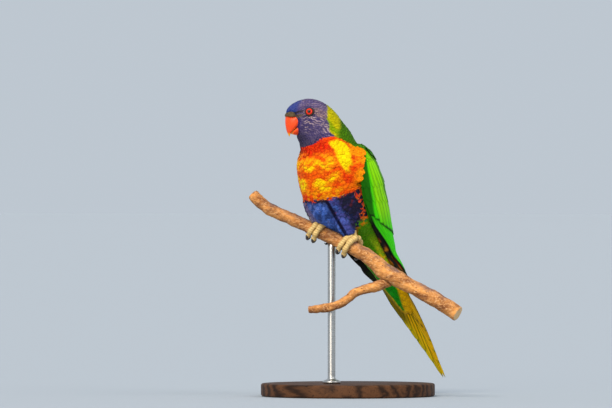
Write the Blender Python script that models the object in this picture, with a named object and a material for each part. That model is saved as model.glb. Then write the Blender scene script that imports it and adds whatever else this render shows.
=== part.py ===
"""A life-size rainbow lorikeet perched on a short cut branch, on a plain display stand.

The bird faces -Y, its left side is +X and +Z is up. The origin is the centre of the stand's underside.
Anatomy is laid out in millimetres in a frame whose origin is the branch's centre line between the feet,
and MM and the stand's offsets carry it to metres.
"""

import math

import bmesh
import bpy
import numpy as np
from mathutils import Vector

MM = 0.001
GAP = 0.32  # what touching nodes keep between them
PERCH_HEIGHT = 124.0  # branch centre line between the feet, above the floor
FEET_AHEAD = 20.0  # how far the feet stand in front of the stand's centre

# Body outline, side on: dorsal point, ventral point and half width of each ring, from throat to tail root
BODY = [
    ((17.0, 76.0), (-27.4, 66.0), 22.5),
    ((25.0, 67.5), (-29.2, 56.5), 27.6),
    ((33.0, 58.0), (-28.2, 46.5), 29.4),
    ((40.5, 47.0), (-25.4, 35.5), 29.6),
    ((47.0, 35.5), (-21.0, 24.0), 28.0),
    ((53.0, 24.5), (-13.8, 13.5), 25.8),
    ((58.5, 13.0), (-3.0, 7.0), 22.0),
    ((63.0, 2.5), (16.0, 0.5), 18.0),
    ((66.5, -5.0), (35.0, -13.0), 14.5),
    ((69.0, -10.0), (50.0, -26.0), 11.5),
]
# Neck and head, from the throat ring up to the forehead
NECK = [
    ((17.0, 76.0), (-27.2, 66.0), 22.5),
    ((12.5, 83.5), (-27.0, 69.0), 20.0),
    ((7.2, 90.2), (-26.8, 71.4), 18.0),
]
HEAD = [
    ((7.2, 90.2), (-26.8, 71.4), 18.0),
    ((2.9, 96.0), (-27.4, 72.6), 17.4),
    ((-2.2, 101.2), (-27.8, 73.7), 16.9),
    ((-8.2, 105.3), (-28.2, 74.8), 16.4),
    ((-14.6, 107.8), (-28.5, 75.7), 15.3),
    ((-21.0, 108.5), (-28.9, 76.6), 13.0),
    ((-27.4, 107.1), (-29.2, 77.6), 9.8),
    ((-33.2, 104.3), (-29.5, 79.3), 6.6),
    ((-37.0, 100.8), (-29.4, 81.5), 4.8),
    ((-38.6, 97.6), (-30.4, 84.6), 3.6),
]
HEAD_TURN = math.radians(38.0)  # to the bird's right
NECK_AXIS_Y = -5.0

# Tail, along its own line from the root to the tip
TAIL_ROOT = np.array([60.0, -18.0])
TAIL_TIP = np.array([143.5, -117.0])
TAIL_LENGTH = float(np.linalg.norm(TAIL_TIP - TAIL_ROOT))
TAIL_WAY = (TAIL_TIP - TAIL_ROOT) / TAIL_LENGTH
TAIL_UP = np.array([-TAIL_WAY[1], TAIL_WAY[0]])

# Perch
BRANCH_SLOPE = math.radians(23.0)
BRANCH_YAW = math.radians(15.0)
BRANCH_RADIUS = 5.4
# place along the branch, sideways bow up and back, radius
BRANCH_COURSE = [
    (-76.0, 4.2, 1.2, 4.7),
    (-62.0, -0.4, 0.6, 5.1),
    (-38.0, -0.3, 0.0, 5.0),
    (-19.0, -0.1, 0.0, 5.2),
    (4.6, -0.1, 0.0, 5.4),
    (33.0, -0.9, 0.0, 5.7),
    (42.5, -3.4, 0.2, 6.3),
    (51.6, -6.4, 0.2, 7.1),
    (63.0, -7.4, 0.0, 6.6),
    (77.0, -8.1, -0.4, 5.9),
    (97.0, -9.2, -0.2, 6.0),
    (122.0, -12.2, 0.6, 6.3),
]
FOOT_PLACES = {1: 18.0, -1: -10.2}  # of the left and right foot, along the branch
TOE_RADIUS = 2.15

STAND_RADIUS = 68.0
STAND_THICKNESS = 10.0
STAND_BEVEL = 2.0
ROD_RADIUS = 3.0

COLOURS = {
    "violet": ((0.10, 0.09, 0.25), 0.7),
    "orange": ((0.80, 0.22, 0.03), 0.7),
    "green": ((0.10, 0.42, 0.04), 0.6),
    "tail_green": ((0.35, 0.38, 0.04), 0.6),
    "navy": ((0.06, 0.07, 0.25), 0.7),
    "bill": ((0.75, 0.10, 0.03), 0.35),
    "cere": ((0.12, 0.09, 0.07), 0.6),
    "eye": ((0.65, 0.07, 0.02), 0.1),
    "foot": ((0.38, 0.33, 0.24), 0.7),
    "bark": ((0.42, 0.25, 0.14), 0.85),
    "wood": ((0.09, 0.05, 0.03), 0.35),
    "steel": ((0.45, 0.44, 0.42), 0.3),
}


def clear_scene():
    for obj in list(bpy.data.objects):
        bpy.data.objects.remove(obj)


def material(name):
    found = bpy.data.materials.get(name)
    if found:
        return found
    made = bpy.data.materials.new(name)
    made.use_nodes = True
    colour, roughness = COLOURS[name]
    shader = made.node_tree.nodes["Principled BSDF"]
    shader.inputs["Base Color"].default_value = (*colour, 1.0)
    shader.inputs["Roughness"].default_value = roughness
    shader.inputs["Metallic"].default_value = 1.0 if name == "steel" else 0.0
    made.diffuse_color = (*colour, 1.0)
    return made


def to_world(point):
    """A point of the anatomy frame, in millimetres, as metres in the part's frame."""
    x, y, z = point
    return Vector((x * MM, (y - FEET_AHEAD) * MM, (z + PERCH_HEIGHT) * MM))


def make_object(name, points, faces, look):
    """A mesh object from anatomy points, with its faces turned outwards."""
    mesh = bpy.data.meshes.new(name)
    mesh.from_pydata([to_world(p) for p in points], [], faces)
    body = bmesh.new()
    body.from_mesh(mesh)
    bmesh.ops.recalc_face_normals(body, faces=body.faces)
    body.to_mesh(mesh)
    body.free()
    obj = bpy.data.objects.new(name, mesh)
    bpy.context.scene.collection.objects.link(obj)
    mesh.materials.append(material(look))
    mesh.shade_smooth()
    mesh.set_sharp_from_angle(angle=math.radians(40))
    return obj


def spline(rows, at):
    """Catmull-Rom value of rows at a place counted in rows, held at both ends."""
    rows = np.asarray(rows, float)
    at = min(max(at, 0.0), len(rows) - 1.0)
    k = min(int(at), len(rows) - 2)
    t = at - k
    before = rows[k - 1] if k > 0 else 2 * rows[k] - rows[k + 1]
    after = rows[k + 2] if k + 2 < len(rows) else 2 * rows[k + 1] - rows[k]
    a, b = rows[k], rows[k + 1]
    return 0.5 * (
        2 * a
        + (b - before) * t
        + (2 * before - 5 * a + 4 * b - after) * t * t
        + (3 * a - before - 3 * b + after) * t**3
    )


def outline_rows(outline):
    return [(*dorsal, *ventral, width) for dorsal, ventral, width in outline]


def ring_at(outline, at):
    """Dorsal point, ventral point and half width at a place along an outline."""
    row = spline(outline_rows(outline), at)
    return row[0:2], row[2:4], float(row[4])


def ring_point(dorsal, ventral, width, angle, high=0.10, grow=0.0):
    """A point of a body ring. The angle runs from the back, 0, over the side to the belly, pi."""
    middle, reach = (dorsal + ventral) / 2, (dorsal - ventral) / 2
    length = np.linalg.norm(reach)
    side, rise = math.sin(angle), math.cos(angle)
    rise_bent = rise + high * side * side
    span = (length + grow) / length
    in_plane = middle + reach * span * rise_bent
    return np.array([(width + grow) * side, in_plane[0], in_plane[1]])


def turned(point, share=1.0):
    """Turns a point about the upright axis through the neck, to the bird's right."""
    angle = -HEAD_TURN * share
    x, y, z = point
    y = y - NECK_AXIS_Y
    return np.array(
        [
            x * math.cos(angle) - y * math.sin(angle),
            x * math.sin(angle) + y * math.cos(angle) + NECK_AXIS_Y,
            z,
        ]
    )


def ring_loop(ring, count, grow=0.0, high=0.10, share=0.0):
    dorsal, ventral, width = ring
    loop = [
        ring_point(dorsal, ventral, width, 2 * math.pi * k / count, high, grow)
        for k in range(count)
    ]
    return [turned(p, share) for p in loop] if share else loop


def shifted(ring, by):
    """A ring moved along its own normal, towards the tail when by is positive."""
    dorsal, ventral, width = ring
    reach = (dorsal - ventral) / np.linalg.norm(dorsal - ventral)
    normal = np.array([reach[1], -reach[0]])
    return dorsal + normal * by, ventral + normal * by, width


def loft(loops):
    """Points and triangles of closed loops joined in order, with a fan over each end."""
    count = len(loops[0])
    points = [p for loop in loops for p in loop]
    faces = []
    for k in range(len(loops) - 1):
        for j in range(count):
            a, b = k * count + j, k * count + (j + 1) % count
            faces += [(a, b, b + count), (a, b + count, a + count)]
    for first, loop in ((0, loops[0]), ((len(loops) - 1) * count, loops[-1])):
        points.append(np.mean(loop, axis=0))
        hub = len(points) - 1
        faces += [(hub, first + j, first + (j + 1) % count) for j in range(count)]
    return points, faces


def tube(centres, radii, sides, flat=1.0):
    """A round tube along centres. flat squeezes it along the second of its cross directions."""
    centres = [np.asarray(c, float) for c in centres]
    loops = []
    across = None
    for k, centre in enumerate(centres):
        ahead = centres[min(k + 1, len(centres) - 1)] - centres[max(k - 1, 0)]
        ahead = ahead / np.linalg.norm(ahead)
        if across is None:
            seed = np.array([0.0, 0.0, 1.0]) if abs(ahead[2]) < 0.9 else np.array([1.0, 0, 0])
            across = np.cross(ahead, seed)
        across = across - ahead * np.dot(across, ahead)
        across = across / np.linalg.norm(across)
        up = np.cross(ahead, across)
        loops.append(
            [
                centre
                + radii[k] * math.cos(2 * math.pi * j / sides) * across
                + radii[k] * flat * math.sin(2 * math.pi * j / sides) * up
                for j in range(sides)
            ]
        )
    return loft(loops)


def ball(centre, radii, rings, sides, axis=(0.0, 0.0, 1.0)):
    """An ellipsoid whose first radius lies along axis."""
    axis = np.asarray(axis, float) / np.linalg.norm(axis)
    seed = np.array([0.0, 0.0, 1.0]) if abs(axis[2]) < 0.9 else np.array([1.0, 0.0, 0.0])
    across = np.cross(axis, seed)
    across /= np.linalg.norm(across)
    up = np.cross(axis, across)
    centre = np.asarray(centre, float)
    points = [centre - axis * radii[0]]
    for k in range(1, rings):
        lat = -math.pi / 2 + math.pi * k / rings
        for j in range(sides):
            lon = 2 * math.pi * j / sides
            points.append(
                centre
                + axis * radii[0] * math.sin(lat)
                + across * radii[1] * math.cos(lat) * math.cos(lon)
                + up * radii[1] * math.cos(lat) * math.sin(lon)
            )
    points.append(centre + axis * radii[0])
    last = len(points) - 1
    faces = []
    for j in range(sides):
        faces.append((0, 1 + j, 1 + (j + 1) % sides))
        top = 1 + (rings - 2) * sides
        faces.append((last, top + j, top + (j + 1) % sides))
        for k in range(rings - 2):
            a, b = 1 + k * sides + j, 1 + k * sides + (j + 1) % sides
            faces += [(a, b, b + sides), (a, b + sides, a + sides)]
    return points, faces


def drop(obj):
    mesh = obj.data
    bpy.data.objects.remove(obj)
    bpy.data.meshes.remove(mesh)


def apply_modifiers(obj):
    """Bakes the object's modifiers into its mesh."""
    bpy.context.view_layer.update()
    graph = bpy.context.evaluated_depsgraph_get()
    made = bpy.data.meshes.new_from_object(obj.evaluated_get(graph))
    old = obj.data
    obj.modifiers.clear()
    obj.data = made
    bpy.data.meshes.remove(old)
    made.name = obj.name


def keep_largest(obj):
    """Keeps the closed surface that encloses most, and drops loose scraps."""
    body = bmesh.new()
    body.from_mesh(obj.data)
    body.verts.ensure_lookup_table()
    seen, islands = set(), []
    for start in body.verts:
        if start.index in seen:
            continue
        island, stack = [], [start]
        seen.add(start.index)
        while stack:
            vert = stack.pop()
            island.append(vert)
            for edge in vert.link_edges:
                other = edge.other_vert(vert)
                if other.index not in seen:
                    seen.add(other.index)
                    stack.append(other)
        islands.append(island)
    islands.sort(key=island_volume, reverse=True)
    loose = [v for island in islands[1:] for v in island]
    bmesh.ops.delete(body, geom=loose, context="VERTS")
    body.to_mesh(obj.data)
    body.free()


def island_volume(island):
    faces = {face for vert in island for face in vert.link_faces}
    total = 0.0
    for face in faces:
        corners = [v.co for v in face.verts]
        for k in range(1, len(corners) - 1):
            total += corners[0].dot(corners[k].cross(corners[k + 1])) / 6
    return abs(total)


def combine(obj, others, operation, solver="EXACT"):
    """One Boolean of obj with the others, applied, with the others then removed."""
    helpers = bpy.data.collections.new(f"{obj.name}_{operation}")
    bpy.context.scene.collection.children.link(helpers)
    for other in others:
        bpy.context.scene.collection.objects.unlink(other)
        helpers.objects.link(other)
    step = obj.modifiers.new(operation, "BOOLEAN")
    step.operation = operation
    step.operand_type = "COLLECTION"
    step.collection = helpers
    step.solver = solver
    apply_modifiers(obj)
    for other in others:
        drop(other)
    bpy.data.collections.remove(helpers)
    keep_largest(obj)
    obj.data.shade_smooth()
    obj.data.set_sharp_from_angle(angle=math.radians(40))
    return obj


def stations(first, last, step):
    count = max(2, int(round((last - first) / step)) + 1)
    return list(np.linspace(first, last, count))


# Torso, neck and head

BODY_SIDES = 26
BODY_HIGH = 0.10
HEAD_HIGH = 0.0


def torso_solid(name, grow=0.0):
    places = stations(0.0, len(BODY) - 1.0, 0.6)
    rings = [ring_at(BODY, at) for at in places]
    rings[0] = shifted(rings[0], GAP / 2)
    rings[-1] = shifted(rings[-1], -GAP / 2)
    if grow:
        rings[0] = shifted(rings[0], -grow)
        rings[-1] = shifted(rings[-1], grow)
    loops = [ring_loop(ring, BODY_SIDES, grow, BODY_HIGH) for ring in rings]
    torso = make_object(name, *loft(loops), "orange")
    return torso if grow else combine(torso, perch_rooms((1, -1)), "DIFFERENCE")


def neck_solid():
    places = stations(0.0, 2.0, 0.5)
    rings = [ring_at(NECK, at) for at in places]
    rings[0] = shifted(rings[0], -GAP / 2)
    rings[-1] = shifted(rings[-1], GAP / 2)
    highs = np.linspace(BODY_HIGH, HEAD_HIGH, len(places))
    loops = [
        ring_loop(ring, BODY_SIDES, 0.0, high, at / 2.0)
        for ring, at, high in zip(rings, places, highs)
    ]
    return make_object("neck", *loft(loops), "green")


EYE_CENTRE = np.array([10.3, -21.2, 97.3])
EYE_RADIUS = 3.9
EYE_LOOK = np.array([1.0, -0.40, 0.22])
LID_OUT = 2.6
LID_RADIUS = 3.5
LID_THICKNESS = 0.6


def eye_place(side):
    """Centre and outward direction of one eye, with the head turned."""
    mirror = np.array([side, 1.0, 1.0])
    centre = turned(EYE_CENTRE * mirror)
    ahead = turned(EYE_CENTRE * mirror + EYE_LOOK * mirror) - centre
    return centre, ahead / np.linalg.norm(ahead)


def eye_opening(name, side):
    """A cone that frees the front of the eye from the face."""
    centre, look = eye_place(side)
    centres = [centre + look * 1.0, centre + look * 3.4, centre + look * 8.0]
    return make_object(name, *tube(centres, [3.3, 3.4, 5.4], 16), "eye")


def lid_ring(name, side):
    centre, look = eye_place(side)
    across = np.cross(look, [0.0, 0.0, 1.0])
    across /= np.linalg.norm(across)
    up = np.cross(look, across)
    loops = []
    count, sides = 16, 5
    for k in range(count):
        a = 2 * math.pi * k / count
        out = math.cos(a) * across + math.sin(a) * up
        hub = centre + look * LID_OUT + out * LID_RADIUS
        loops.append(
            [
                hub
                + LID_THICKNESS * (math.cos(b) * out + math.sin(b) * look)
                for b in (2 * math.pi * j / sides for j in range(sides))
            ]
        )
    points = [p for loop in loops for p in loop]
    faces = []
    for k in range(count):
        for j in range(sides):
            a, b = k * sides + j, k * sides + (j + 1) % sides
            c, d = ((k + 1) % count) * sides + j, ((k + 1) % count) * sides + (j + 1) % sides
            faces += [(a, b, d), (a, d, c)]
    return make_object(name, points, faces, "cere")


# Bill: culmen and cutting edge of the upper mandible, top and keel of the lower one
UPPER_BILL = [
    ((-33.6, 97.2), (-25.6, 90.2), 7.0),
    ((-38.0, 95.0), (-28.2, 88.4), 7.1),
    ((-38.6, 91.4), (-30.0, 86.2), 6.5),
    ((-38.5, 87.9), (-31.8, 84.2), 5.2),
    ((-37.9, 84.4), (-33.4, 82.5), 3.8),
    ((-36.8, 81.2), (-34.6, 80.8), 2.1),
    ((-35.4, 78.4), (-35.0, 78.8), 0.6),
]
LOWER_BILL = [
    ((-24.6, 89.6), (-23.6, 80.8), 6.0),
    ((-28.2, 88.2), (-27.0, 79.9), 6.1),
    ((-30.6, 86.0), (-29.8, 79.6), 5.2),
    ((-32.6, 83.6), (-32.0, 80.0), 4.0),
    ((-34.0, 81.2), (-33.7, 80.4), 2.0),
]
CERE = [
    ((-35.6, 98.3), (-30.6, 97.9), 3.6),
    ((-37.6, 97.2), (-29.8, 96.8), 5.6),
    ((-38.7, 95.6), (-29.4, 95.2), 6.8),
    ((-38.8, 94.2), (-29.4, 93.6), 7.1),
]
NOSTRIL = np.array([2.9, -37.6, 96.4])


def bill_part(name, outline, look, high=0.0, grow=0.0, sides=16, step=0.6):
    """A horn part of the head. A negative high puts its widest level near the ventral side."""
    places = stations(0.0, len(outline) - 1.0, step)
    rings = [ring_at(outline, at) for at in places]
    if grow:
        rings[0] = shifted(rings[0], grow)
        rings[-1] = shifted(rings[-1], -grow)
    loops = [ring_loop(ring, sides, grow, high, 1.0) for ring in rings]
    return make_object(name, *loft(loops), look)


def upper_bill(name, grow=0.0):
    return bill_part(name, UPPER_BILL, "bill", -0.55, grow)


def lower_bill(name, grow=0.0):
    """The lower mandible, closed against the upper one along the line of the mouth."""
    lower = bill_part(name, LOWER_BILL, "bill", 0.35, grow)
    return lower if grow else combine(lower, [upper_bill("mouth", GAP + 0.12)], "DIFFERENCE")


def cere_solid():
    cere = bill_part("cere", CERE, "cere")
    upper = upper_bill("cere_cut", GAP)
    nostrils = [
        make_object(
            f"nostril_{side}",
            *ball(turned(NOSTRIL * np.array([side, 1, 1])), (0.9, 0.75), 5, 7),
            "cere",
        )
        for side in (-1, 1)
    ]
    return combine(cere, [upper, *nostrils], "DIFFERENCE")


def head_solid():
    places = stations(0.0, len(HEAD) - 1.0, 0.75)
    rings = [ring_at(HEAD, at) for at in places]
    rings[0] = shifted(rings[0], -GAP / 2)
    loops = [ring_loop(ring, BODY_SIDES, 0.0, HEAD_HIGH, 1.0) for ring in rings]
    head = make_object("head", *loft(loops), "violet")
    combine(head, [eye_opening("opening_left", 1), eye_opening("opening_right", -1)], "DIFFERENCE")
    combine(head, [lid_ring("lid_left", 1), lid_ring("lid_right", -1)], "UNION")
    cutters = [
        upper_bill("upper_room", GAP),
        lower_bill("lower_room", GAP),
        bill_part("cere_room", CERE, "cere", 0.0, GAP),
    ]
    for side in (-1, 1):
        centre, look = eye_place(side)
        room = EYE_RADIUS + GAP
        cutters.append(
            make_object(f"socket_{side}", *ball(centre, (room, room), 10, 16, look), "eye")
        )
    return combine(head, cutters, "DIFFERENCE")


def eye_solids():
    for name, side in (("eye_left", 1), ("eye_right", -1)):
        centre, look = eye_place(side)
        make_object(name, *ball(centre, (EYE_RADIUS, EYE_RADIUS), 9, 14, look), "eye")


# Wings: a carrier surface that follows the body and runs on beside the tail

def tail_frame_ring(along, up, down, width):
    """A carrier ring past the rump, set square to the tail's line."""
    centre = TAIL_ROOT + TAIL_WAY * along
    return (tuple(centre + TAIL_UP * up), tuple(centre - TAIL_UP * down), width)


CARRIER = [
    *BODY,
    tail_frame_ring(12.0, 10.0, 12.0, 13.5),
    tail_frame_ring(26.0, 8.2, 9.0, 12.5),
    tail_frame_ring(42.0, 6.4, 8.0, 12.0),
]
# place along the wing from wrist to tip: carrier place, lower edge angle, upper edge angle
WING_COURSE = [
    (0.55, 75.0, 60.0),
    (1.6, 100.0, 28.0),
    (3.0, 109.0, 13.0),
    (4.4, 109.0, 8.0),
    (5.8, 106.5, 6.0),
    (7.2, 104.0, 5.0),
    (8.4, 98.0, 5.0),
    (9.6, 84.0, 5.0),
    (10.8, 62.0, 8.0),
    (11.8, 38.0, 14.0),
]
WING_CLEAR = 0.6  # between the body and the wing's inner face
# The right wing hangs a little: place along it, how far outwards and how far down
RIGHT_DROOP = [
    (0.0, 0.0, 0.0),
    (0.25, 0.8, 1.0),
    (0.4, 2.2, 3.6),
    (0.55, 5.0, 7.2),
    (0.7, 9.0, 7.4),
    (0.85, 12.6, 4.6),
    (1.0, 14.5, 1.4),
]


def wing_point(along, across, out, side):
    """A point of the wing. along runs 0 to 1 from wrist to tip, across 0 to 1 from lower to upper edge."""
    place, low, high = spline(WING_COURSE, along * (len(WING_COURSE) - 1))
    angle = math.radians(low + (high - low) * across)
    dorsal, ventral, width = ring_at(CARRIER, place)
    point = ring_point(dorsal, ventral, width, angle, BODY_HIGH)
    ahead = ring_point(dorsal, ventral, width, angle + 0.02, BODY_HIGH)
    behind = ring_point(dorsal, ventral, width, angle - 0.02, BODY_HIGH)
    further = ring_point(*ring_at(CARRIER, place + 0.05), angle, BODY_HIGH)
    nearer = ring_point(*ring_at(CARRIER, place - 0.05), angle, BODY_HIGH)
    normal = np.cross(further - nearer, behind - ahead)
    normal /= np.linalg.norm(normal)
    point = point + normal * out
    if side < 0:
        rows = np.array(RIGHT_DROOP)
        hold = 1.0 - 0.55 * across
        point[0] += hold * np.interp(along, rows[:, 0], rows[:, 1])
        point[2] -= hold * np.interp(along, rows[:, 0], rows[:, 2])
    return point * np.array([side, 1.0, 1.0])


def shell_plate(rows):
    """Closed plate from rows of (inner, outer) points, split alike on both faces."""
    wide = len(rows[0])
    points = [pair[0] for row in rows for pair in row] + [pair[1] for row in rows for pair in row]
    off = len(rows) * wide
    faces = []
    for k in range(len(rows) - 1):
        for j in range(wide - 1):
            a = k * wide + j
            b, c, d = a + 1, a + wide, a + wide + 1
            faces += [(a, b, d), (a, d, c)]
            faces += [(off + a, off + d, off + b), (off + a, off + c, off + d)]
    rim = [j for j in range(wide)]
    rim += [k * wide + wide - 1 for k in range(1, len(rows))]
    rim += [(len(rows) - 1) * wide + j for j in range(wide - 2, -1, -1)]
    rim += [k * wide for k in range(len(rows) - 2, 0, -1)]
    for a, b in zip(rim, rim[1:] + rim[:1]):
        faces += [(a, off + a, off + b), (a, off + b, b)]
    return points, faces


def wing_chord(along):
    """Length across the wing, from its lower to its upper edge, in millimetres."""
    spots = [wing_point(along, across, 0.0, 1) for across in np.linspace(0.0, 1.0, 9)]
    return float(sum(np.linalg.norm(b - a) for a, b in zip(spots, spots[1:])))


WING_CHORDS = [wing_chord(along) for along in np.linspace(0.0, 1.0, 21)]


def chord_at(along):
    return float(np.interp(along, np.linspace(0.0, 1.0, 21), WING_CHORDS))


# The wing's bed: place along it, and its height over the body there, shoulder pad first
BED_HEIGHTS = [(0.0, 1.8), (0.08, 3.6), (0.2, 3.5), (0.3, 2.7), (0.42, 2.0), (0.65, 1.4), (0.86, 0.9)]


def wing_bed(name, side):
    rows = []
    heights = np.array(BED_HEIGHTS)
    for along in np.linspace(0.0, BED_HEIGHTS[-1][0], 12):
        high = float(np.interp(along, heights[:, 0], heights[:, 1]))
        low = 0.07 * min(1.0, along / 0.3)
        row = []
        for share in np.linspace(0.0, 1.0, 6):
            across = low + (1.0 - low) * share
            inset = math.sin(math.pi * min(max(share, 0.03), 0.97)) ** 0.35
            thick = 0.5 + (high - 0.5) * inset
            inner = wing_point(along, across, WING_CLEAR, side)
            row.append((inner, wing_point(along, across, WING_CLEAR + thick, side)))
        rows.append(row)
    return make_object(name, *shell_plate(rows), "green")


# Tiers of one wing from the bottom of the stack up. Roots and tips are places along the wing and
# across it, from the outermost feather by the lower edge to the innermost by the back.
WING_TIERS = {
    "primary": {
        "count": 6,
        "root": (0.42, 0.48),
        "tips": (0.955, 1.0, 0.975, 0.93, 0.88, 0.82),
        "root_across": (0.07, 0.54),
        "tip_across": (0.30, 0.45, 0.54, 0.59, 0.60, 0.60),
        "width": (3.3, 3.9),
        "height": (1.25, 1.7),
        "tilt": 0.13,
    },
    "secondary": {
        "count": 7,
        "root": (0.26, 0.28),
        "tips": (0.615, 0.63, 0.64, 0.65, 0.665, 0.69, 0.72),
        "root_across": (0.10, 0.86),
        "tip_across": (0.15, 0.28, 0.41, 0.54, 0.67, 0.79, 0.89),
        "width": (4.8, 5.1),
        "height": (1.7, 3.9),
        "tilt": 0.085,
    },
    "covert": {
        "count": 6,
        "root": (0.15, 0.17),
        "tips": (0.36, 0.375, 0.39, 0.40, 0.41, 0.43),
        "root_across": (0.11, 0.85),
        "tip_across": (0.11, 0.27, 0.42, 0.57, 0.72, 0.87),
        "width": (5.3, 5.7),
        "height": (2.5, 3.9),
        "tilt": 0.09,
    },
}
VANE_PLACES = (0.0, 0.34, 0.66, 0.9, 1.0)
VANE_WIDTHS = (0.8, 1.0, 1.0, 0.72, 0.16)
VANE_THICKNESS = 0.72


def vane(name, place, width, look, tilt=0.0, lift=(0.0, 0.0), ends=VANE_WIDTHS):
    """A thin feather. place(t, side, up) gives points along it, t from root to tip."""
    rows = []
    for t, share in zip(VANE_PLACES, ends):
        row = []
        for aside in (-width * share, width * share):
            up = lift[0] + (lift[1] - lift[0]) * t - tilt * aside
            top = up + VANE_THICKNESS * (1.0 if t < 0.95 else 0.75)
            row.append((place(t, aside, up), place(t, aside, top)))
        rows.append(row)
    return make_object(name, *shell_plate(rows), look)


def wing_vane(name, side, tier, k):
    share = k / (tier["count"] - 1)
    root = tier["root"][0] + (tier["root"][1] - tier["root"][0]) * share
    tip = tier["tips"][k]
    low, high = tier["root_across"]
    across_root = low + (high - low) * share
    across_tip = tier["tip_across"][k]
    width = tier["width"][0] + (tier["width"][1] - tier["width"][0]) * share

    def place(t, aside, up):
        along = root + (tip - root) * t
        across = across_root + (across_tip - across_root) * t + aside / chord_at(along)
        return wing_point(along, across, up, side)

    return vane(name, place, width, "green", tier["tilt"], tier["height"])


def wing_solid(name, side):
    """One folded wing: a bed with three tiers of overlapping feathers on it."""
    bed = wing_bed(name, side)
    pieces = []
    for kind, tier in WING_TIERS.items():
        pieces += [wing_vane(f"{kind}_{k}", side, tier, k) for k in range(tier["count"])]
    combine(bed, pieces, "UNION")
    return combine(bed, [torso_solid("torso_room", GAP), tail_core("tail_room", GAP)], "DIFFERENCE")


# Tail

def tail_point(along, side, up):
    """A point of the tail: along its line, sideways and above it."""
    y, z = TAIL_ROOT + TAIL_WAY * along + TAIL_UP * up
    return np.array([side, y, z])


TAIL_CORE = [  # along, top, bottom, half width
    (12.0, 7.5, 9.0, 11.5),
    (26.0, 5.2, 6.5, 12.0),
    (40.0, 3.0, 4.6, 10.5),
    (52.0, 1.2, 2.8, 7.0),
    (56.0, 0.4, 1.6, 4.0),
]
# tail feathers from the middle pair outwards: length, tip's place aside, half width
RECTRICES = [
    (121.5, 1.0, 4.5),
    (107.0, 2.8, 4.7),
    (95.0, 4.5, 4.9),
    (84.0, 6.0, 4.8),
    (73.0, 7.3, 4.6),
    (62.0, 8.6, 4.4),
]
TAIL_WIDTHS = (0.85, 1.0, 0.9, 0.42, 0.1)
TAIL_STEP = 0.36


def tail_core(name, grow=0.0):
    """The tail's coverts and the feathers' roots under them, as one tapering body."""
    first = shifted(ring_at(BODY, len(BODY) - 1.0), GAP / 2 - grow)
    loops = [ring_loop(first, 24, grow, BODY_HIGH)]
    for along, top, bottom, width in TAIL_CORE:
        top, bottom, width = top + grow, bottom + grow, width + grow
        loop = []
        for k in range(24):
            angle = 2 * math.pi * k / 24
            rise = math.cos(angle)
            loop.append(
                tail_point(along, width * math.sin(angle), rise * (top if rise > 0 else bottom))
            )
        loops.append(loop)
    return make_object(name, *loft(loops), "tail_green")


def tail_solid():
    """Twelve feathers in one stack, the longest pair on top, with their roots in the coverts."""
    tail = tail_core("tail")
    pieces = []
    level = 2.1
    for k, (length, aside, width) in enumerate(RECTRICES):
        for side in (1, -1):
            root_aside = side * (0.9 + 1.15 * k)
            tip_aside = side * aside

            def place(t, offset, up):
                bow = 1.0 - (1.0 - t) ** 1.6
                way = root_aside + (tip_aside - root_aside) * bow
                fall = 0.012 * (way + offset) ** 2
                along = 8.0 + (length - 8.0) * t
                drift = 1.4 * math.sin(math.pi * min(along / 110.0, 1.0))
                return tail_point(along, way + offset + drift, up - fall)

            lift = (level, level * 0.35)
            name = f"rectrix_{k}_{side}"
            pieces.append(vane(name, place, width, "tail_green", 0.0, lift, TAIL_WIDTHS))
            level -= TAIL_STEP
    return combine(tail, pieces, "UNION")


# Perch, feet and stand

ALONG = np.array(
    [
        math.cos(BRANCH_YAW) * math.cos(BRANCH_SLOPE),
        math.sin(BRANCH_YAW) * math.cos(BRANCH_SLOPE),
        -math.sin(BRANCH_SLOPE),
    ]
)
BACK = np.array([-math.sin(BRANCH_YAW), math.cos(BRANCH_YAW), 0.0])
OVER = np.cross(ALONG, BACK)


def branch_place(at):
    """Centre and radius of the branch at a distance along it from between the feet."""
    rows = np.array(BRANCH_COURSE)
    index = float(np.interp(at, rows[:, 0], range(len(rows))))
    _, over, back, radius = spline(rows, index)
    return ALONG * at + OVER * over + BACK * back, float(radius)


def branch_solid(name, grow=0.0):
    places = np.linspace(BRANCH_COURSE[0][0] - grow, BRANCH_COURSE[-1][0] + grow, 23)
    found = [branch_place(at) for at in places]
    centres = [c for c, _ in found]
    radii = [r + grow for _, r in found]
    return make_object(name, *tube(centres, radii, 12), "bark")


TWIG_COURSE = [  # centre and radius
    (50.5, 13.5, -32.5, 4.6),
    (40.1, 7.5, -37.7, 4.2),
    (25.9, 0.2, -41.7, 3.6),
    (19.0, -3.0, -47.6, 3.6),
    (9.6, -8.2, -53.4, 3.4),
    (-2.1, -15.4, -55.5, 3.3),
    (-8.0, -18.6, -56.0, 3.1),
]


def twig_solid():
    rows = np.array(TWIG_COURSE)
    found = [spline(rows, at) for at in np.linspace(0, len(rows) - 1, 16)]
    twig = make_object("perch_twig", *tube([r[:3] for r in found], [r[3] for r in found], 10), "bark")
    return combine(twig, [branch_solid("twig_cut", GAP)], "DIFFERENCE")


# toes of one foot: place along the branch at root and at tip, front or back, reach round it in degrees
TOES = [
    (-2.0, -6.4, -1, 132.0, 0.96),
    (2.0, -1.2, -1, 146.0, 1.0),
    (-2.0, 0.4, 1, 98.0, 0.9),
    (2.0, 5.8, 1, 128.0, 0.98),
]
CLAW_SWEEP = 54.0


def foot_frame(side):
    """Centre of the branch under one foot, and its radius."""
    return branch_place(FOOT_PLACES[side])


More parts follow.
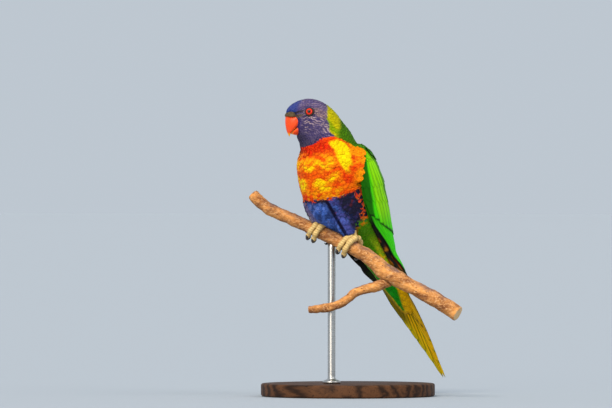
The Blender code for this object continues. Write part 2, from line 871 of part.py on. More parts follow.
def toe_path(side, root, tip, way, sweep):
    centre, radius = foot_frame(side)
    ride = radius + TOE_RADIUS + 0.4
    path, radii = [], []
    steps = 7
    for k in range(steps + 1):
        share = k / steps
        angle = math.radians(14.0 + (sweep - 14.0) * share)
        thick = TOE_RADIUS * (1.0 - 0.22 * share + 0.07 * math.cos(share * 6 * math.pi))
        slide = root + (tip - root) * share
        spot = branch_place(FOOT_PLACES[side] + slide)[0]
        path.append(
            spot + (ride - TOE_RADIUS + thick) * (math.cos(angle) * OVER + way * math.sin(angle) * BACK)
        )
        radii.append(thick)
    return path, radii


def claw_path(side, tip, way, sweep):
    _, radius = foot_frame(side)
    spot = branch_place(FOOT_PLACES[side] + tip)[0]
    path, radii = [], []
    for k in range(6):
        share = k / 5
        angle = math.radians(sweep - 8.0 + CLAW_SWEEP * share)
        thick = 1.35 * (1 - share) + 0.25 * share
        lift = 1.2 + 2.3 * math.sin(math.pi * share**0.8)
        ride = radius + 0.45 + thick + lift * (1 - 0.4 * share)
        path.append(spot + ride * (math.cos(angle) * OVER + way * math.sin(angle) * BACK))
        radii.append(thick)
    return path, radii


def ankle(name, side):
    """The ball of the foot, on top of the branch."""
    centre, radius = foot_frame(side)
    top = centre + OVER * (radius + 2.7)
    return make_object(name, *ball(top, (2.3, 3.4), 6, 10, OVER), "foot")


def toe_room(name, side):
    """What the toes take up round the branch."""
    places = [FOOT_PLACES[side] + step for step in (-9.2, 0.0, 8.6)]
    radius = BRANCH_RADIUS + 2 * TOE_RADIUS + 0.9
    return make_object(name, *tube([branch_place(at)[0] for at in places], [radius] * 3, 20), "foot")


def perch_rooms(sides):
    """Cutters that keep the feathers off the branch and the feet."""
    rooms = [branch_solid("branch_room", GAP)]
    for side in sides:
        rooms += [toe_room("toe_room", side), shank("shank_room", side, GAP)]
    return rooms


def foot_solid(name, side):
    pieces = []
    for k, (root, tip, way, sweep, size) in enumerate(TOES):
        if side < 0:
            sweep = sweep + (4.0 if k in (0, 2) else -6.0)
        path, radii = toe_path(side, root, tip, way, sweep)
        pieces.append(make_object(f"toe_{k}", *tube(path, [r * size for r in radii], 7), "foot"))
        path, radii = claw_path(side, tip, way, sweep)
        pieces.append(make_object(f"claw_{k}", *tube(path, radii, 5), "foot"))
    foot = ankle(name, side)
    pieces.append(shank("shank", side))
    return combine(foot, pieces, "UNION")


def shank(name, side, grow=0.0):
    centre, radius = foot_frame(side)
    low = centre + OVER * (radius + 2.9)
    high = SHANK_TOP[side]
    high = high + (high - low) / np.linalg.norm(high - low) * grow
    radii = [r + grow for r in (2.3, 2.1, 2.4)]
    return make_object(name, *tube([low, (low + high) / 2, high], radii, 8), "foot")


SHANK_TOP = {1: np.array([18.4, 4.6, 5.4]), -1: np.array([-7.0, -2.4, 16.4])}
# centre line and radius of each feathered thigh, from inside the flank down to the shank
THIGHS = {
    1: [
        ((8.5, -3.0, 27.0), 9.0),
        ((9.8, -2.4, 20.0), 9.4),
        ((13.0, 0.6, 11.5), 8.2),
        ((16.0, 2.8, 2.6), 5.8),
    ],
    -1: [
        ((-11.0, -8.0, 34.0), 9.0),
        ((-11.6, -7.0, 28.0), 9.4),
        ((-11.0, -5.6, 20.5), 8.2),
        ((-9.6, -4.2, 12.4), 5.8),
    ],
}


def thigh_solid(name, side, torso_cut):
    rows = [(*c, r) for c, r in THIGHS[side]]
    found = [spline(rows, at) for at in np.linspace(0, len(rows) - 1, 8)]
    thigh = make_object(name, *tube([f[:3] for f in found], [f[3] for f in found], 16), "navy")
    combine(thigh, [torso_cut, *perch_rooms((side,))], "DIFFERENCE")
    return thigh


def stand_solids():
    loops = []
    for radius, height in (
        (STAND_RADIUS - STAND_BEVEL * 0.5, 0.0),
        (STAND_RADIUS, STAND_BEVEL * 0.5),
        (STAND_RADIUS, STAND_THICKNESS - STAND_BEVEL),
        (STAND_RADIUS - STAND_BEVEL * 0.6, STAND_THICKNESS - STAND_BEVEL * 0.3),
        (STAND_RADIUS - STAND_BEVEL * 1.6, STAND_THICKNESS),
    ):
        loops.append(
            [
                np.array(
                    [
                        radius * math.cos(2 * math.pi * k / 40),
                        radius * math.sin(2 * math.pi * k / 40) + FEET_AHEAD,
                        height - PERCH_HEIGHT,
                    ]
                )
                for k in range(40)
            ]
        )
    make_object("stand_base", *loft(loops), "wood")
    foot = STAND_THICKNESS - PERCH_HEIGHT + GAP
    rows = [(foot, 7.0), (foot + 1.6, 7.0), (foot + 2.6, 5.6), (foot + 3.4, ROD_RADIUS), (0.0, ROD_RADIUS)]
    rod = make_object(
        "stand_rod",
        *tube([np.array([0.0, 0.0, z]) for z, _ in rows], [r for _, r in rows], 20),
        "steel",
    )
    return combine(rod, [branch_solid("rod_cut", GAP)], "DIFFERENCE")


def main():
    clear_scene()
    torso_solid("torso")
    neck_solid()
    head_solid()
    eye_solids()
    cere_solid()
    upper_bill("bill_upper")
    lower_bill("bill_lower")
    wing_solid("wing_left", 1)
    wing_solid("wing_right", -1)
    tail_solid()
    branch_solid("perch_branch")
    twig_solid()
    for name, side in (("left", 1), ("right", -1)):
        thigh_solid(f"thigh_{name}", side, torso_solid("torso_room", GAP))
        foot_solid(f"foot_{name}", side)
    stand_solids()


main()
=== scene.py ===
import math
from functools import partial

import bmesh
import bpy
import numpy as np
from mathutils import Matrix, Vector
from mathutils.bvhtree import BVHTree
from mathutils.kdtree import KDTree


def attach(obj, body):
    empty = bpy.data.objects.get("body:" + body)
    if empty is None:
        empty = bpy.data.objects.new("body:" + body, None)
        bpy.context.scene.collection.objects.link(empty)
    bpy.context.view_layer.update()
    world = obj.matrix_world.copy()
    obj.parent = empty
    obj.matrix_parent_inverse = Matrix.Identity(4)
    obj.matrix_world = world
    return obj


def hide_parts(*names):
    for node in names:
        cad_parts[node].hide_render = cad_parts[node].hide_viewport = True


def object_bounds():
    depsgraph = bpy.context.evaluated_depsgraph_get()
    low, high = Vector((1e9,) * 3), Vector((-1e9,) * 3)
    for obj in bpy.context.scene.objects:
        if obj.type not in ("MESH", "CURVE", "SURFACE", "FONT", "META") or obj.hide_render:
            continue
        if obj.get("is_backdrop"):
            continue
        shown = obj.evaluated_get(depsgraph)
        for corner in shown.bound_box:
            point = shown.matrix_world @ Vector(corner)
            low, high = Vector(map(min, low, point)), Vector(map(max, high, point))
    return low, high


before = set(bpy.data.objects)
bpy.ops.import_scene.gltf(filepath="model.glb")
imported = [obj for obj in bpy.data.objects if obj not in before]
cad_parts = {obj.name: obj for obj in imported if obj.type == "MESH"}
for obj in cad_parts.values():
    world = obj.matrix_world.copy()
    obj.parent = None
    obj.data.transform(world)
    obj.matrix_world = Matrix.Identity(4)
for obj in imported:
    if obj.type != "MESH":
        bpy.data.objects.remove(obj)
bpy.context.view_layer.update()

print("frame loaded")

# Shapes are laid out in millimetres from the branch's centre line between the feet, as in the solids.
feetAt = np.array([0.0, -20.0, 124.0])
chance = np.random.default_rng(11)


def toMetres(points):
    return (np.asarray(points, float) + feetAt) * 0.001


def toMillimetres(points):
    return np.asarray(points, float) * 1000 - feetAt


def toLinear(hexText):
    parts = np.array([int(hexText[k : k + 2], 16) for k in (1, 3, 5)]) / 255
    return np.where(parts <= 0.04045, parts / 12.92, ((parts + 0.055) / 1.055) ** 2.4)


def colour(hexText):
    return (*toLinear(hexText), 1.0)


def palette(**shades):
    return {name: toLinear(hexText) for name, hexText in shades.items()}


def soft(value, low, high):
    t = np.clip((np.asarray(value, float) - low) / (high - low), 0, 1)
    return t * t * (3 - 2 * t)


def mixed(first, second, share):
    return first + (second - first) * np.asarray(share)[..., None]


def unit(vectors):
    return vectors / np.linalg.norm(vectors, axis=-1, keepdims=True)


def softNoise(u, v, seed=0):  # smooth lumps about one unit wide, from 0 to 1
    wholeU, wholeV = np.floor(u), np.floor(v)
    partU, partV = u - wholeU, v - wholeV
    partU, partV = partU * partU * (3 - 2 * partU), partV * partV * (3 - 2 * partV)

    def corner(stepU, stepV):
        mixedUp = np.sin((wholeU + stepU) * 12.9898 + (wholeV + stepV) * 78.233 + seed * 37.719)
        return np.modf(np.abs(mixedUp * 43758.5453))[0]

    low = corner(0, 0) + (corner(1, 0) - corner(0, 0)) * partU
    high = corner(0, 1) + (corner(1, 1) - corner(0, 1)) * partU
    return low + (high - low) * partV


def courseAt(rows, at):  # smooth curve through the rows, at places counted in rows
    rows = np.asarray(rows, float)
    at = np.clip(np.asarray(at, float), 0, len(rows) - 1.0)
    k = np.minimum(at.astype(int), len(rows) - 2)
    t = (at - k)[..., None]
    padded = np.vstack([2 * rows[0] - rows[1], rows, 2 * rows[-1] - rows[-2]])
    before, a, b, after = padded[k], padded[k + 1], padded[k + 2], padded[k + 3]
    bend = 2 * before - 5 * a + 4 * b - after
    return 0.5 * (2 * a + (b - before) * t + bend * t**2 + (3 * a - before - 3 * b + after) * t**3)


# Small helpers for pieces


def selectOnly(obj):
    for other in bpy.context.selected_objects:
        other.select_set(False)
    if obj:
        obj.select_set(True)
        bpy.context.view_layer.objects.active = obj


def applied(obj, kind, **settings):
    selectOnly(obj)
    step = obj.modifiers.new(kind.lower(), kind)
    for key, value in settings.items():
        setattr(step, key, value)
    bpy.ops.object.modifier_apply(modifier=step.name)
    return obj


def merged(obj, outwards=True):
    selectOnly(obj)
    bpy.ops.object.mode_set(mode="EDIT")
    bpy.ops.mesh.select_all(action="SELECT")
    bpy.ops.mesh.remove_doubles(threshold=1e-6)
    if outwards:
        bpy.ops.mesh.normals_make_consistent(inside=False)
    bpy.ops.object.mode_set(mode="OBJECT")
    bpy.ops.object.shade_smooth()
    return obj


def gridPiece(name, table):  # a grid primitive laid over a table of points, closed where they meet
    table = np.asarray(table, float)
    rows, columns = table.shape[:2]
    selectOnly(None)
    bpy.ops.mesh.primitive_grid_add(x_subdivisions=columns - 1, y_subdivisions=rows - 1, size=2)
    obj = bpy.context.object
    obj.name = obj.data.name = name
    flat = np.empty(len(obj.data.vertices) * 3)
    obj.data.vertices.foreach_get("co", flat)
    flat = flat.reshape(-1, 3)
    j = np.rint((flat[:, 0] + 1) / 2 * (columns - 1)).astype(int)
    k = np.rint((flat[:, 1] + 1) / 2 * (rows - 1)).astype(int)
    obj.data.vertices.foreach_set("co", toMetres(table[k, j]).ravel())
    return merged(obj)


def joined(name, pieces):
    selectOnly(pieces[0])
    for piece in pieces[1:]:
        piece.select_set(True)
    bpy.ops.object.join()
    pieces[0].name = pieces[0].data.name = name
    return pieces[0]


def copyOfNode(node, name):
    obj = bpy.data.objects.new(name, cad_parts[node].data.copy())
    bpy.context.scene.collection.objects.link(obj)
    obj.data.name = name
    obj.data.materials.clear()
    return merged(obj, outwards=False)


def tubeTable(centres, radii, columns, ends=True):  # rings round a line of points, closed at the ends
    centres = np.asarray(centres, float)
    ahead = unit(np.gradient(centres, axis=0))
    seed = np.array([0.0, 0.0, 1.0]) if abs(ahead[0][2]) < 0.9 else np.array([1.0, 0.0, 0.0])
    across = np.cross(ahead[0], seed)
    turn = np.linspace(0, 2 * math.pi, columns)
    rings = []
    for k, centre in enumerate(centres):
        across = across - ahead[k] * np.dot(across, ahead[k])
        across /= np.linalg.norm(across)
        up = np.cross(ahead[k], across)
        radius = np.broadcast_to(radii[k], turn.shape)[:, None]
        rings.append(centre + radius * (np.cos(turn)[:, None] * across + np.sin(turn)[:, None] * up))
    if ends:
        caps = [np.broadcast_to(centres[k], rings[0].shape) for k in (0, -1)]
        rings = [caps[0], *rings, caps[1]]
    return np.array(rings)


def pointsOf(obj):
    flat = np.empty(len(obj.data.vertices) * 3)
    obj.data.vertices.foreach_get("co", flat)
    return toMillimetres(flat.reshape(-1, 3))


def normalsOf(obj):
    flat = np.empty(len(obj.data.vertices) * 3)
    obj.data.vertices.foreach_get("normal", flat)
    return flat.reshape(-1, 3)


def movePoints(obj, points):
    obj.data.vertices.foreach_set("co", toMetres(points).ravel())
    obj.data.update()


def treeOf(obj):
    points = [Vector(p) for p in pointsOf(obj)]
    return BVHTree.FromPolygons(points, [tuple(face.vertices) for face in obj.data.polygons])


def nearestOf(points):  # finds which of these points lies nearest to each of others
    tree = KDTree(len(points))
    for k, p in enumerate(points):
        tree.insert(p, k)
    tree.balance()
    return lambda others: np.array([tree.find(p)[1] for p in others])


def addTint(obj, values):  # one colour a point
    layer = obj.data.attributes.new("tint", "FLOAT_COLOR", "POINT")
    full = np.ones((len(obj.data.vertices), 4))
    full[:, :3] = values
    layer.data.foreach_set("color", full.ravel())


def addVector(obj, name, values):
    layer = obj.data.attributes.new(name, "FLOAT_VECTOR", "POINT")
    layer.data.foreach_set("vector", np.asarray(values, float).ravel())


def addNumber(obj, name, values):
    layer = obj.data.attributes.new(name, "FLOAT", "POINT")
    layer.data.foreach_set("value", np.asarray(values, float))


def hand(obj, material, slotName, *nodes):  # the piece gets its finish and takes its place in the model
    obj.data.materials.clear()
    obj.data.materials.append(material)
    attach(obj, "root")
    if nodes:
        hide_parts(*nodes)


# Materials

colourMix = {"data_type": "RGBA", "clamp_factor": True}


def addNode(tree, kind, inputs=None, **settings):  # sets or links the node's inputs, and gives its outputs
    node = tree.nodes.new("ShaderNode" + kind)
    for key, value in settings.items():
        setattr(node, key, value)
    for key, value in (inputs or {}).items():
        if isinstance(value, bpy.types.NodeSocket):
            tree.links.new(value, node.inputs[key])
        else:
            node.inputs[key].default_value = value
    return node.outputs


def newMaterial(name, **settings):  # the material, and addNode for its tree
    material = bpy.data.materials.new(name)
    material.use_nodes = True
    for key, value in settings.items():
        material.node_tree.nodes["Principled BSDF"].inputs[key.replace("_", " ")].default_value = value
    return material, partial(addNode, material.node_tree)


def finished(material, links, height=None, strength=0.0, distance=0.0):  # links the shader and a bump
    tree = material.node_tree
    if height is not None:
        relief = {"Height": height, "Strength": strength, "Distance": distance}
        links["Normal"] = addNode(tree, "Bump", relief)[0]
    for key, source in links.items():
        tree.links.new(source, tree.nodes["Principled BSDF"].inputs[key])
    return material


def featherMaterial(name, barbStep, depth, roughness, sheen, streak):
    # Keratin vanes: fine barbs slant out from the shaft, so the colour breaks into slanting streaks.
    # Real barbs are 0.2 to 0.4 mm apart; they are drawn coarser so that they show.
    material, node = newMaterial(
        name, Roughness=roughness, Specular_IOR_Level=0.06, IOR=1.54, Sheen_Weight=sheen, Sheen_Roughness=0.4
    )
    tint = node("Attribute", attribute_name="tint")["Color"]
    vane = node("Attribute", attribute_name="vane")["Vector"]
    across, along, number = node("SeparateXYZ", {0: vane})
    aside = node("Math", {0: across}, operation="ABSOLUTE")[0]
    slant = node("Math", {0: aside, 1: 1.15}, operation="MULTIPLY")[0]
    barb = node("Math", {0: along, 1: slant}, operation="SUBTRACT")[0]
    steps = [
        node("Math", {0: value, 1: factor}, operation="MULTIPLY")[0]
        for value, factor in ((barb, 1 / barbStep), (aside, 0.25), (number, 37.0))
    ]
    place = node("CombineXYZ", dict(enumerate(steps)))[0]
    broken = node("TexNoise", {"Vector": place, "Scale": 1.0, "Detail": 2.0})["Fac"]
    dark = node("MapRange", {0: broken, 1: 0.62, 2: 0.36, 4: streak})[0]
    light = node("MapRange", {0: broken, 1: 0.56, 2: 0.78, 4: streak * 0.7})[0]
    shade = tint
    for share, factors in ((dark, (0.35, 0.3, 0.32, 1)), (light, (1.45, 1.4, 1.3, 1))):
        toned = node("Mix", {0: 1.0, 6: tint, 7: factors}, blend_type="MULTIPLY", **colourMix)[2]
        shade = node("Mix", {0: share, 6: shade, 7: toned}, **colourMix)[2]
    phase = node("Math", {0: barb, 1: 2 * math.pi / barbStep}, operation="MULTIPLY")[0]
    wave = node("Math", {0: phase}, operation="SINE")[0]
    ridge = node("Math", {0: wave, 1: 0.3}, operation="MULTIPLY")[0]
    height = node("Math", {0: ridge, 1: broken}, operation="ADD")[0]
    return finished(material, {"Base Color": shade}, height, 0.7, depth * 0.001)


def skinMaterial():
    # Bird skin with down, matte and of the coat's own colours, so that no bare ground shows through.
    material, node = newMaterial("downySkin", Roughness=0.85, Specular_IOR_Level=0.2)
    tint = node("Attribute", attribute_name="tint")["Color"]
    where = node("TexCoord")["Object"]
    down = node("TexNoise", {"Vector": where, "Scale": 900.0, "Detail": 3.0})["Fac"]
    deep = node("Mix", {0: 1.0, 6: tint, 7: (0.4, 0.38, 0.4, 1)}, blend_type="MULTIPLY", **colourMix)[2]
    share = node("MapRange", {0: down, 1: 0.35, 2: 0.65})[0]
    body = node("Mix", {0: share, 6: deep, 7: tint}, **colourMix)[2]
    return finished(material, {"Base Color": body}, down, 0.6, 0.0004)


def billMaterial():
    # Horn, grown and worn smooth: satin gloss, red that pales to yellow at the worn tip and edges.
    material, node = newMaterial(
        "billHorn",
        Roughness=0.42,
        IOR=1.55,
        Specular_IOR_Level=0.35,
        Subsurface_Weight=0.12,
        Subsurface_Radius=(0.004, 0.0015, 0.0006),
        Subsurface_Scale=0.5,
    )
    where = node("TexCoord")["Object"]
    tip = node("Attribute", attribute_name="tip")["Fac"]
    growth = node("TexNoise", {"Vector": where, "Scale": 420.0, "Detail": 4.0, "Roughness": 0.6})["Fac"]
    body = node("Mix", {0: growth, 6: colour("#e83402"), 7: colour("#fb5c0e")}, **colourMix)[2]
    shift = node("MapRange", {0: growth, 1: 0.3, 2: 0.7, 3: -0.16, 4: 0.16})[0]
    edge = node("Math", {0: tip, 1: shift}, operation="ADD")[0]
    worn = node("MapRange", {0: edge, 1: 0.55, 2: 0.95})[0]
    body = node("Mix", {0: worn, 6: body, 7: colour("#f7a818")}, **colourMix)[2]
    lines = node("TexWave", {"Vector": where, "Scale": 260.0, "Distortion": 6.0, "Detail": 2.0})["Fac"]
    return finished(material, {"Base Color": body}, lines, 0.25, 0.00008)


def skinOfScales(name, light, dark, size, roughness, plates=False):
    # Bare bird skin: small horny scales with darker joints, dry and a little worn on top.
    material, node = newMaterial(name, Roughness=roughness, IOR=1.5)
    where = node("TexCoord")["Object"]
    cells = node("TexVoronoi", {"Vector": where, "Scale": 1000.0 / size}, feature="DISTANCE_TO_EDGE")
    stain = node("TexNoise", {"Vector": where, "Scale": 300.0, "Detail": 4.0})["Fac"]
    joint = node("MapRange", {0: cells["Distance"], 1: 0.0, 2: 0.16})[0]
    if plates:  # broad plates over the top of each toe, with a joint every 1.5 mm
        arc, share, _ = node("SeparateXYZ", {0: node("Attribute", attribute_name="plate")["Vector"]})
        phase = node("Math", {0: arc, 1: math.pi}, operation="MULTIPLY")[0]
        wave = node("Math", {0: phase}, operation="SINE")[0]
        wave = node("Math", {0: wave}, operation="ABSOLUTE")[0]
        groove = node("MapRange", {0: wave, 1: 0.0, 2: 0.3})[0]
        joint = node("Mix", {0: share, 6: joint, 7: groove}, **colourMix)[2]
    ground = node("Mix", {0: stain, 6: colour(dark), 7: colour(light)}, **colourMix)[2]
    deep = node("Mix", {0: 1.0, 6: ground, 7: (0.45, 0.38, 0.28, 1)}, blend_type="MULTIPLY", **colourMix)[2]
    body = node("Mix", {0: joint, 6: deep, 7: ground}, **colourMix)[2]
    return finished(material, {"Base Color": body}, joint, 0.8, 0.00025)


def clawMaterial():
    # Claw horn, grown in layers and worn smooth: near black, with paler patches.
    material, node = newMaterial("clawHorn", Roughness=0.32, IOR=1.55)
    layers = node("TexNoise", {"Vector": node("TexCoord")["Object"], "Scale": 700.0, "Detail": 3.0})["Fac"]
    body = node("Mix", {0: layers, 6: colour("#17120f"), 7: colour("#4a3d33")}, **colourMix)[2]
    return finished(material, {"Base Color": body})


def eyeMaterial(pupil, iris):
    # Blown glass eye, painted behind: red-orange iris with radial fibres, black pupil, dark rim, clear gloss.
    material, node = newMaterial("paintedGlassEye", Roughness=0.1, IOR=1.5, Specular_IOR_Level=0.3)
    across, up, _ = node("SeparateXYZ", {0: node("Attribute", attribute_name="gaze")["Vector"]})
    flat = node("CombineXYZ", {0: across, 1: up})[0]
    radius = node("VectorMath", {0: flat}, operation="LENGTH")["Value"]
    ray = node("VectorMath", {0: flat}, operation="NORMALIZE")["Vector"]
    fibres = node("TexNoise", {"Vector": ray, "Scale": 7.0, "Detail": 4.0, "Roughness": 0.7})["Fac"]
    body = node("Mix", {0: fibres, 6: colour("#c01204"), 7: colour("#ff3c0a")}, **colourMix)[2]
    inside = node("MapRange", {0: radius, 1: pupil, 2: pupil + 0.5})[0]
    body = node("Mix", {0: inside, 6: colour("#a82a06"), 7: body}, **colourMix)[2]
    outside = node("MapRange", {0: radius, 1: iris - 0.3, 2: iris})[0]
    body = node("Mix", {0: outside, 6: body, 7: colour("#120805")}, **colourMix)[2]
    opening = node("MapRange", {0: radius, 1: pupil - 0.04, 2: pupil + 0.1})[0]
    body = node("Mix", {0: opening, 6: colour("#030202"), 7: body}, **colourMix)[2]
    return finished(material, {"Base Color": body})


def barkMaterial():
    # Thin bark of a smooth-barked twig: tan to orange skin, dark pores, small cracks, grey on the upper side
    # as part wear and part painted shade, and painted shade as darker brown underneath.
    material, node = newMaterial("twigBark", Roughness=0.82, IOR=1.45)
    where = node("TexCoord")["Object"]
    turn = (0.0, math.radians(-23), math.radians(-15))
    lie = node("Mapping", {"Vector": where, "Rotation": turn, "Scale": (0.35, 1.0, 1.0)})[0]
    broad, fine, blotch = (
        node("TexNoise", {"Vector": lie, "Scale": scale, "Detail": detail, "Roughness": rough})["Fac"]
        for scale, detail, rough in ((170.0, 5.0, 0.62), (900.0, 5.0, 0.7), (60.0, 6.0, 0.7))
    )
    pores = node("TexVoronoi", {"Vector": lie, "Scale": 420.0, "Randomness": 1.0})["Distance"]
    grey = node("TexNoise", {"Vector": where, "Scale": 70.0, "Detail": 3.0})["Fac"]
    upward = node("SeparateXYZ", {0: node("NewGeometry")["Normal"]})[2]
    topSide = node("MapRange", {0: upward, 1: 0.45, 2: 0.95})[0]
    patches = node("MapRange", {0: grey, 1: 0.42, 2: 0.6, 3: 0.15, 4: 0.85})[0]
    # grey on the upper side: partly wear, partly painted shade
    weatherAndShade = node("Math", {0: topSide, 1: patches}, operation="MULTIPLY")[0]
    spot = node("MapRange", {0: pores, 1: 0.20, 2: 0.08})[0]
    crowd = node("MapRange", {0: broad, 1: 0.42, 2: 0.5})[0]
    few = node("Math", {0: spot, 1: crowd}, operation="MULTIPLY")[0]
    smooth = node("MapRange", {0: broad, 1: 0.34, 2: 0.64})[0]
    ground = node("Mix", {0: smooth, 6: colour("#7c4418"), 7: colour("#e59c50")}, **colourMix)[2]
    for share, shade in (
        (node("MapRange", {0: fine, 1: 0.5, 2: 0.72})[0], "#efba82"),
        (weatherAndShade, "#65545a"),
        # painted shade: darker brown on the underside
        (node("MapRange", {0: upward, 1: -0.1, 2: -0.9, 4: 0.5})[0], "#6a3c18"),
        (few, "#4a2b18"),
        (node("MapRange", {0: blotch, 1: 0.56, 2: 0.7, 4: 0.75})[0], "#4e3a34"),
        (node("MapRange", {0: fine, 1: 0.38, 2: 0.28, 4: 0.9})[0], "#4e2e1a"),
    ):
        ground = node("Mix", {0: share, 6: ground, 7: colour(shade)}, **colourMix)[2]
    # the cut ends show pale wood with rings round the pith
    cut = node("Attribute", attribute_name="cut")["Fac"]
    pith = node("Attribute", attribute_name="pith")["Fac"]
    phase = node("Math", {0: pith, 1: 9.0}, operation="MULTIPLY")[0]
    rings = node("Math", {0: phase}, operation="SINE")[0]
    late = node("MapRange", {0: rings, 1: -1.0, 2: 1.0})[0]
    wood = node("Mix", {0: late, 6: colour("#c79a66"), 7: colour("#e6c99a")}, **colourMix)[2]
    body = node("Mix", {0: cut, 6: ground, 7: wood}, **colourMix)[2]
    pits = node("Math", {0: few, 1: 0.5}, operation="MULTIPLY")[0]
    height = node("Math", {0: fine, 1: pits}, operation="SUBTRACT")[0]
    return finished(material, {"Base Color": body}, height, 0.9, 0.0005)


def woodMaterial():
    # Turned walnut, stained dark and oiled: long grain with fine pores, a low sheen and no film.
    material, node = newMaterial("stainedWalnut", Roughness=0.58, Specular_IOR_Level=0.15)
    lie = node(
        "Mapping",
        {
            "Vector": node("TexCoord")["Object"],
            "Location": (0.0, 0.11, 0.03),
            "Rotation": (0.0, 0.0, math.radians(20)),
            "Scale": (0.16, 1.0, 1.0),
        },
    )[0]
    wave = {"Vector": lie, "Scale": 95.0, "Distortion": 7.0, "Detail": 4.0, "Detail Scale": 1.2}
    grain = node("TexWave", wave)["Fac"]
    pores = node("TexNoise", {"Vector": lie, "Scale": 1400.0, "Detail": 3.0})["Fac"]
    body = node("Mix", {0: grain, 6: colour("#2b1a10"), 7: colour("#5b3a23")}, **colourMix)[2]
    opened = node("MapRange", {0: pores, 1: 0.42, 2: 0.3})[0]
    body = node("Mix", {0: opened, 6: body, 7: colour("#150c07")}, **colourMix)[2]
    return finished(material, {"Base Color": body}, pores, 0.25, 0.0001)


def steelMaterial():
    # Drawn stainless rod, brushed round: soft streaked highlights.
    material, node = newMaterial("brushedSteel", Metallic=1.0)
    lie = node("Mapping", {"Vector": node("TexCoord")["Object"], "Scale": (0.05, 0.05, 1.0)})[0]
    brush = node("TexNoise", {"Vector": lie, "Scale": 3500.0, "Detail": 2.0})["Fac"]
    body = node("Mix", {0: brush, 6: colour("#a9a8a5"), 7: colour("#cfcecb")}, **colourMix)[2]
    rough = node("MapRange", {0: brush, 1: 0.3, 2: 0.7, 3: 0.22, 4: 0.38})[0]
    return finished(material, {"Base Color": body, "Roughness": rough})


# The bird's form, from the named sizes of the solids: dorsal point, ventral point and half width

bodyRings = [
    ((17.0, 76.0), (-27.4, 66.0), 22.5),
    ((25.0, 67.5), (-29.2, 56.5), 27.6),
    ((33.0, 58.0), (-28.2, 46.5), 29.4),
    ((40.5, 47.0), (-25.4, 35.5), 29.6),
    ((47.0, 35.5), (-21.0, 24.0), 28.0),
    ((53.0, 24.5), (-13.8, 13.5), 25.8),
    ((58.5, 13.0), (-3.0, 7.0), 22.0),
    ((63.0, 2.5), (16.0, 0.5), 18.0),
    ((66.5, -5.0), (35.0, -13.0), 14.5),
    ((69.0, -10.0), (50.0, -26.0), 11.5),
]
headRings = [
    ((-38.6, 97.6), (-30.4, 84.6), 3.6),
    ((-37.0, 100.8), (-29.4, 81.5), 4.8),
    ((-33.2, 104.3), (-29.5, 79.3), 6.6),
    ((-27.4, 107.1), (-29.2, 77.6), 9.8),
    ((-21.0, 108.5), (-28.9, 76.6), 13.0),
    ((-14.6, 107.8), (-28.5, 75.7), 15.3),
    ((-8.2, 105.3), (-28.2, 74.8), 16.4),
    ((-2.2, 101.2), (-27.8, 73.7), 16.9),
    ((2.9, 96.0), (-27.4, 72.6), 17.4),
    ((7.2, 90.2), (-26.8, 71.4), 18.0),
]
tailRoot = np.array([60.0, -18.0])
tailWay = unit(np.array([143.5, -117.0]) - tailRoot)
tailUp = np.array([-tailWay[1], tailWay[0]])
headTurn = math.radians(38.0)
# the folded wing's outline on the body: place, angle of its lower and its upper edge
wingCourse = np.array(
    [
        (0.55, 75, 60),
        (1.6, 100, 28),
        (3.0, 109, 13),
        (4.4, 109, 8),
        (5.8, 106.5, 6),
        (7.2, 104, 5),
        (8.4, 98, 5),
        (9.6, 84, 5),
        (10.8, 62, 8),
        (11.8, 38, 14),
    ],
    float,
)


def tailRing(along, up, down, width):
    centre = tailRoot + tailWay * along
    return [*(centre + tailUp * up), *(centre - tailUp * down), width]


trunkRows = np.array(
    [[*d, *v, w, 0.0, 1.0] for d, v, w in headRings]
    + [[12.5, 83.5, -27.0, 69.0, 20.0, 0.05, 0.5]]
    + [[*d, *v, w, 0.10, 0.0] for d, v, w in bodyRings]
    + [tailRing(*row) + [0.0, 0.0] for row in ((12, 7.5, 9, 11.5), (26, 5.2, 6.5, 12), (40, 3, 4.6, 10.5))]
    + [tailRing(*row) + [0.0, 0.0] for row in ((52, 1.2, 2.8, 7), (56, 0.4, 1.6, 4))]
)
carrierRows = np.array(
    [[*d, *v, w, 0.10] for d, v, w in bodyRings]
    + [tailRing(*row) + [0.10] for row in ((12, 10, 12, 13.5), (26, 8.2, 9, 12.5), (42, 6.4, 8, 12))]
)


def ringPoint(row, angle):
    dorsal, ventral, width, high = row[..., 0:2], row[..., 2:4], row[..., 4], row[..., 5]
    side = np.sin(angle)
    rise = np.cos(angle) + high * side**2
    inPlane = (dorsal + ventral) / 2 + (dorsal - ventral) / 2 * rise[..., None]
    return np.concatenate([(width * side)[..., None], inPlane], -1)


def turned(points, share=1.0):
    angle = -headTurn * np.asarray(share, float)
    x, y, z = points[..., 0], points[..., 1] + 5.0, points[..., 2]
    cos, sin = np.cos(angle), np.sin(angle)
    return np.stack([x * cos - y * sin, x * sin + y * cos - 5.0, z], -1)


def trunkPoint(place, angle):
    row = courseAt(trunkRows, place)
    return turned(ringPoint(row, angle), row[..., 6])


def trunkFrame(place, angle):  # point, way towards the tail and outward normal
    point = trunkPoint(place, angle)
    way = unit(trunkPoint(place + 0.06, angle) - trunkPoint(place - 0.06, angle))
    rounding = trunkPoint(place, angle + 0.04) - trunkPoint(place, angle - 0.04)
    return point, way, unit(np.cross(rounding, way))


# thighs: centre line and radius from inside the flank down to the shank
thighRows = {
    1: [(8.5, -3.0, 27.0, 9.0), (9.8, -2.4, 20.0, 9.4), (13.0, 0.6, 11.5, 8.2), (16.0, 2.8, 2.6, 5.8)],
    -1: [(-11, -8, 34, 9.0), (-11.6, -7.0, 28.0, 9.4), (-11.0, -5.6, 20.5, 8.2), (-9.6, -4.2, 12.4, 5.8)],
}
shankTop = {1: np.array([18.4, 4.6, 5.4]), -1: np.array([-7.0, -2.4, 16.4])}

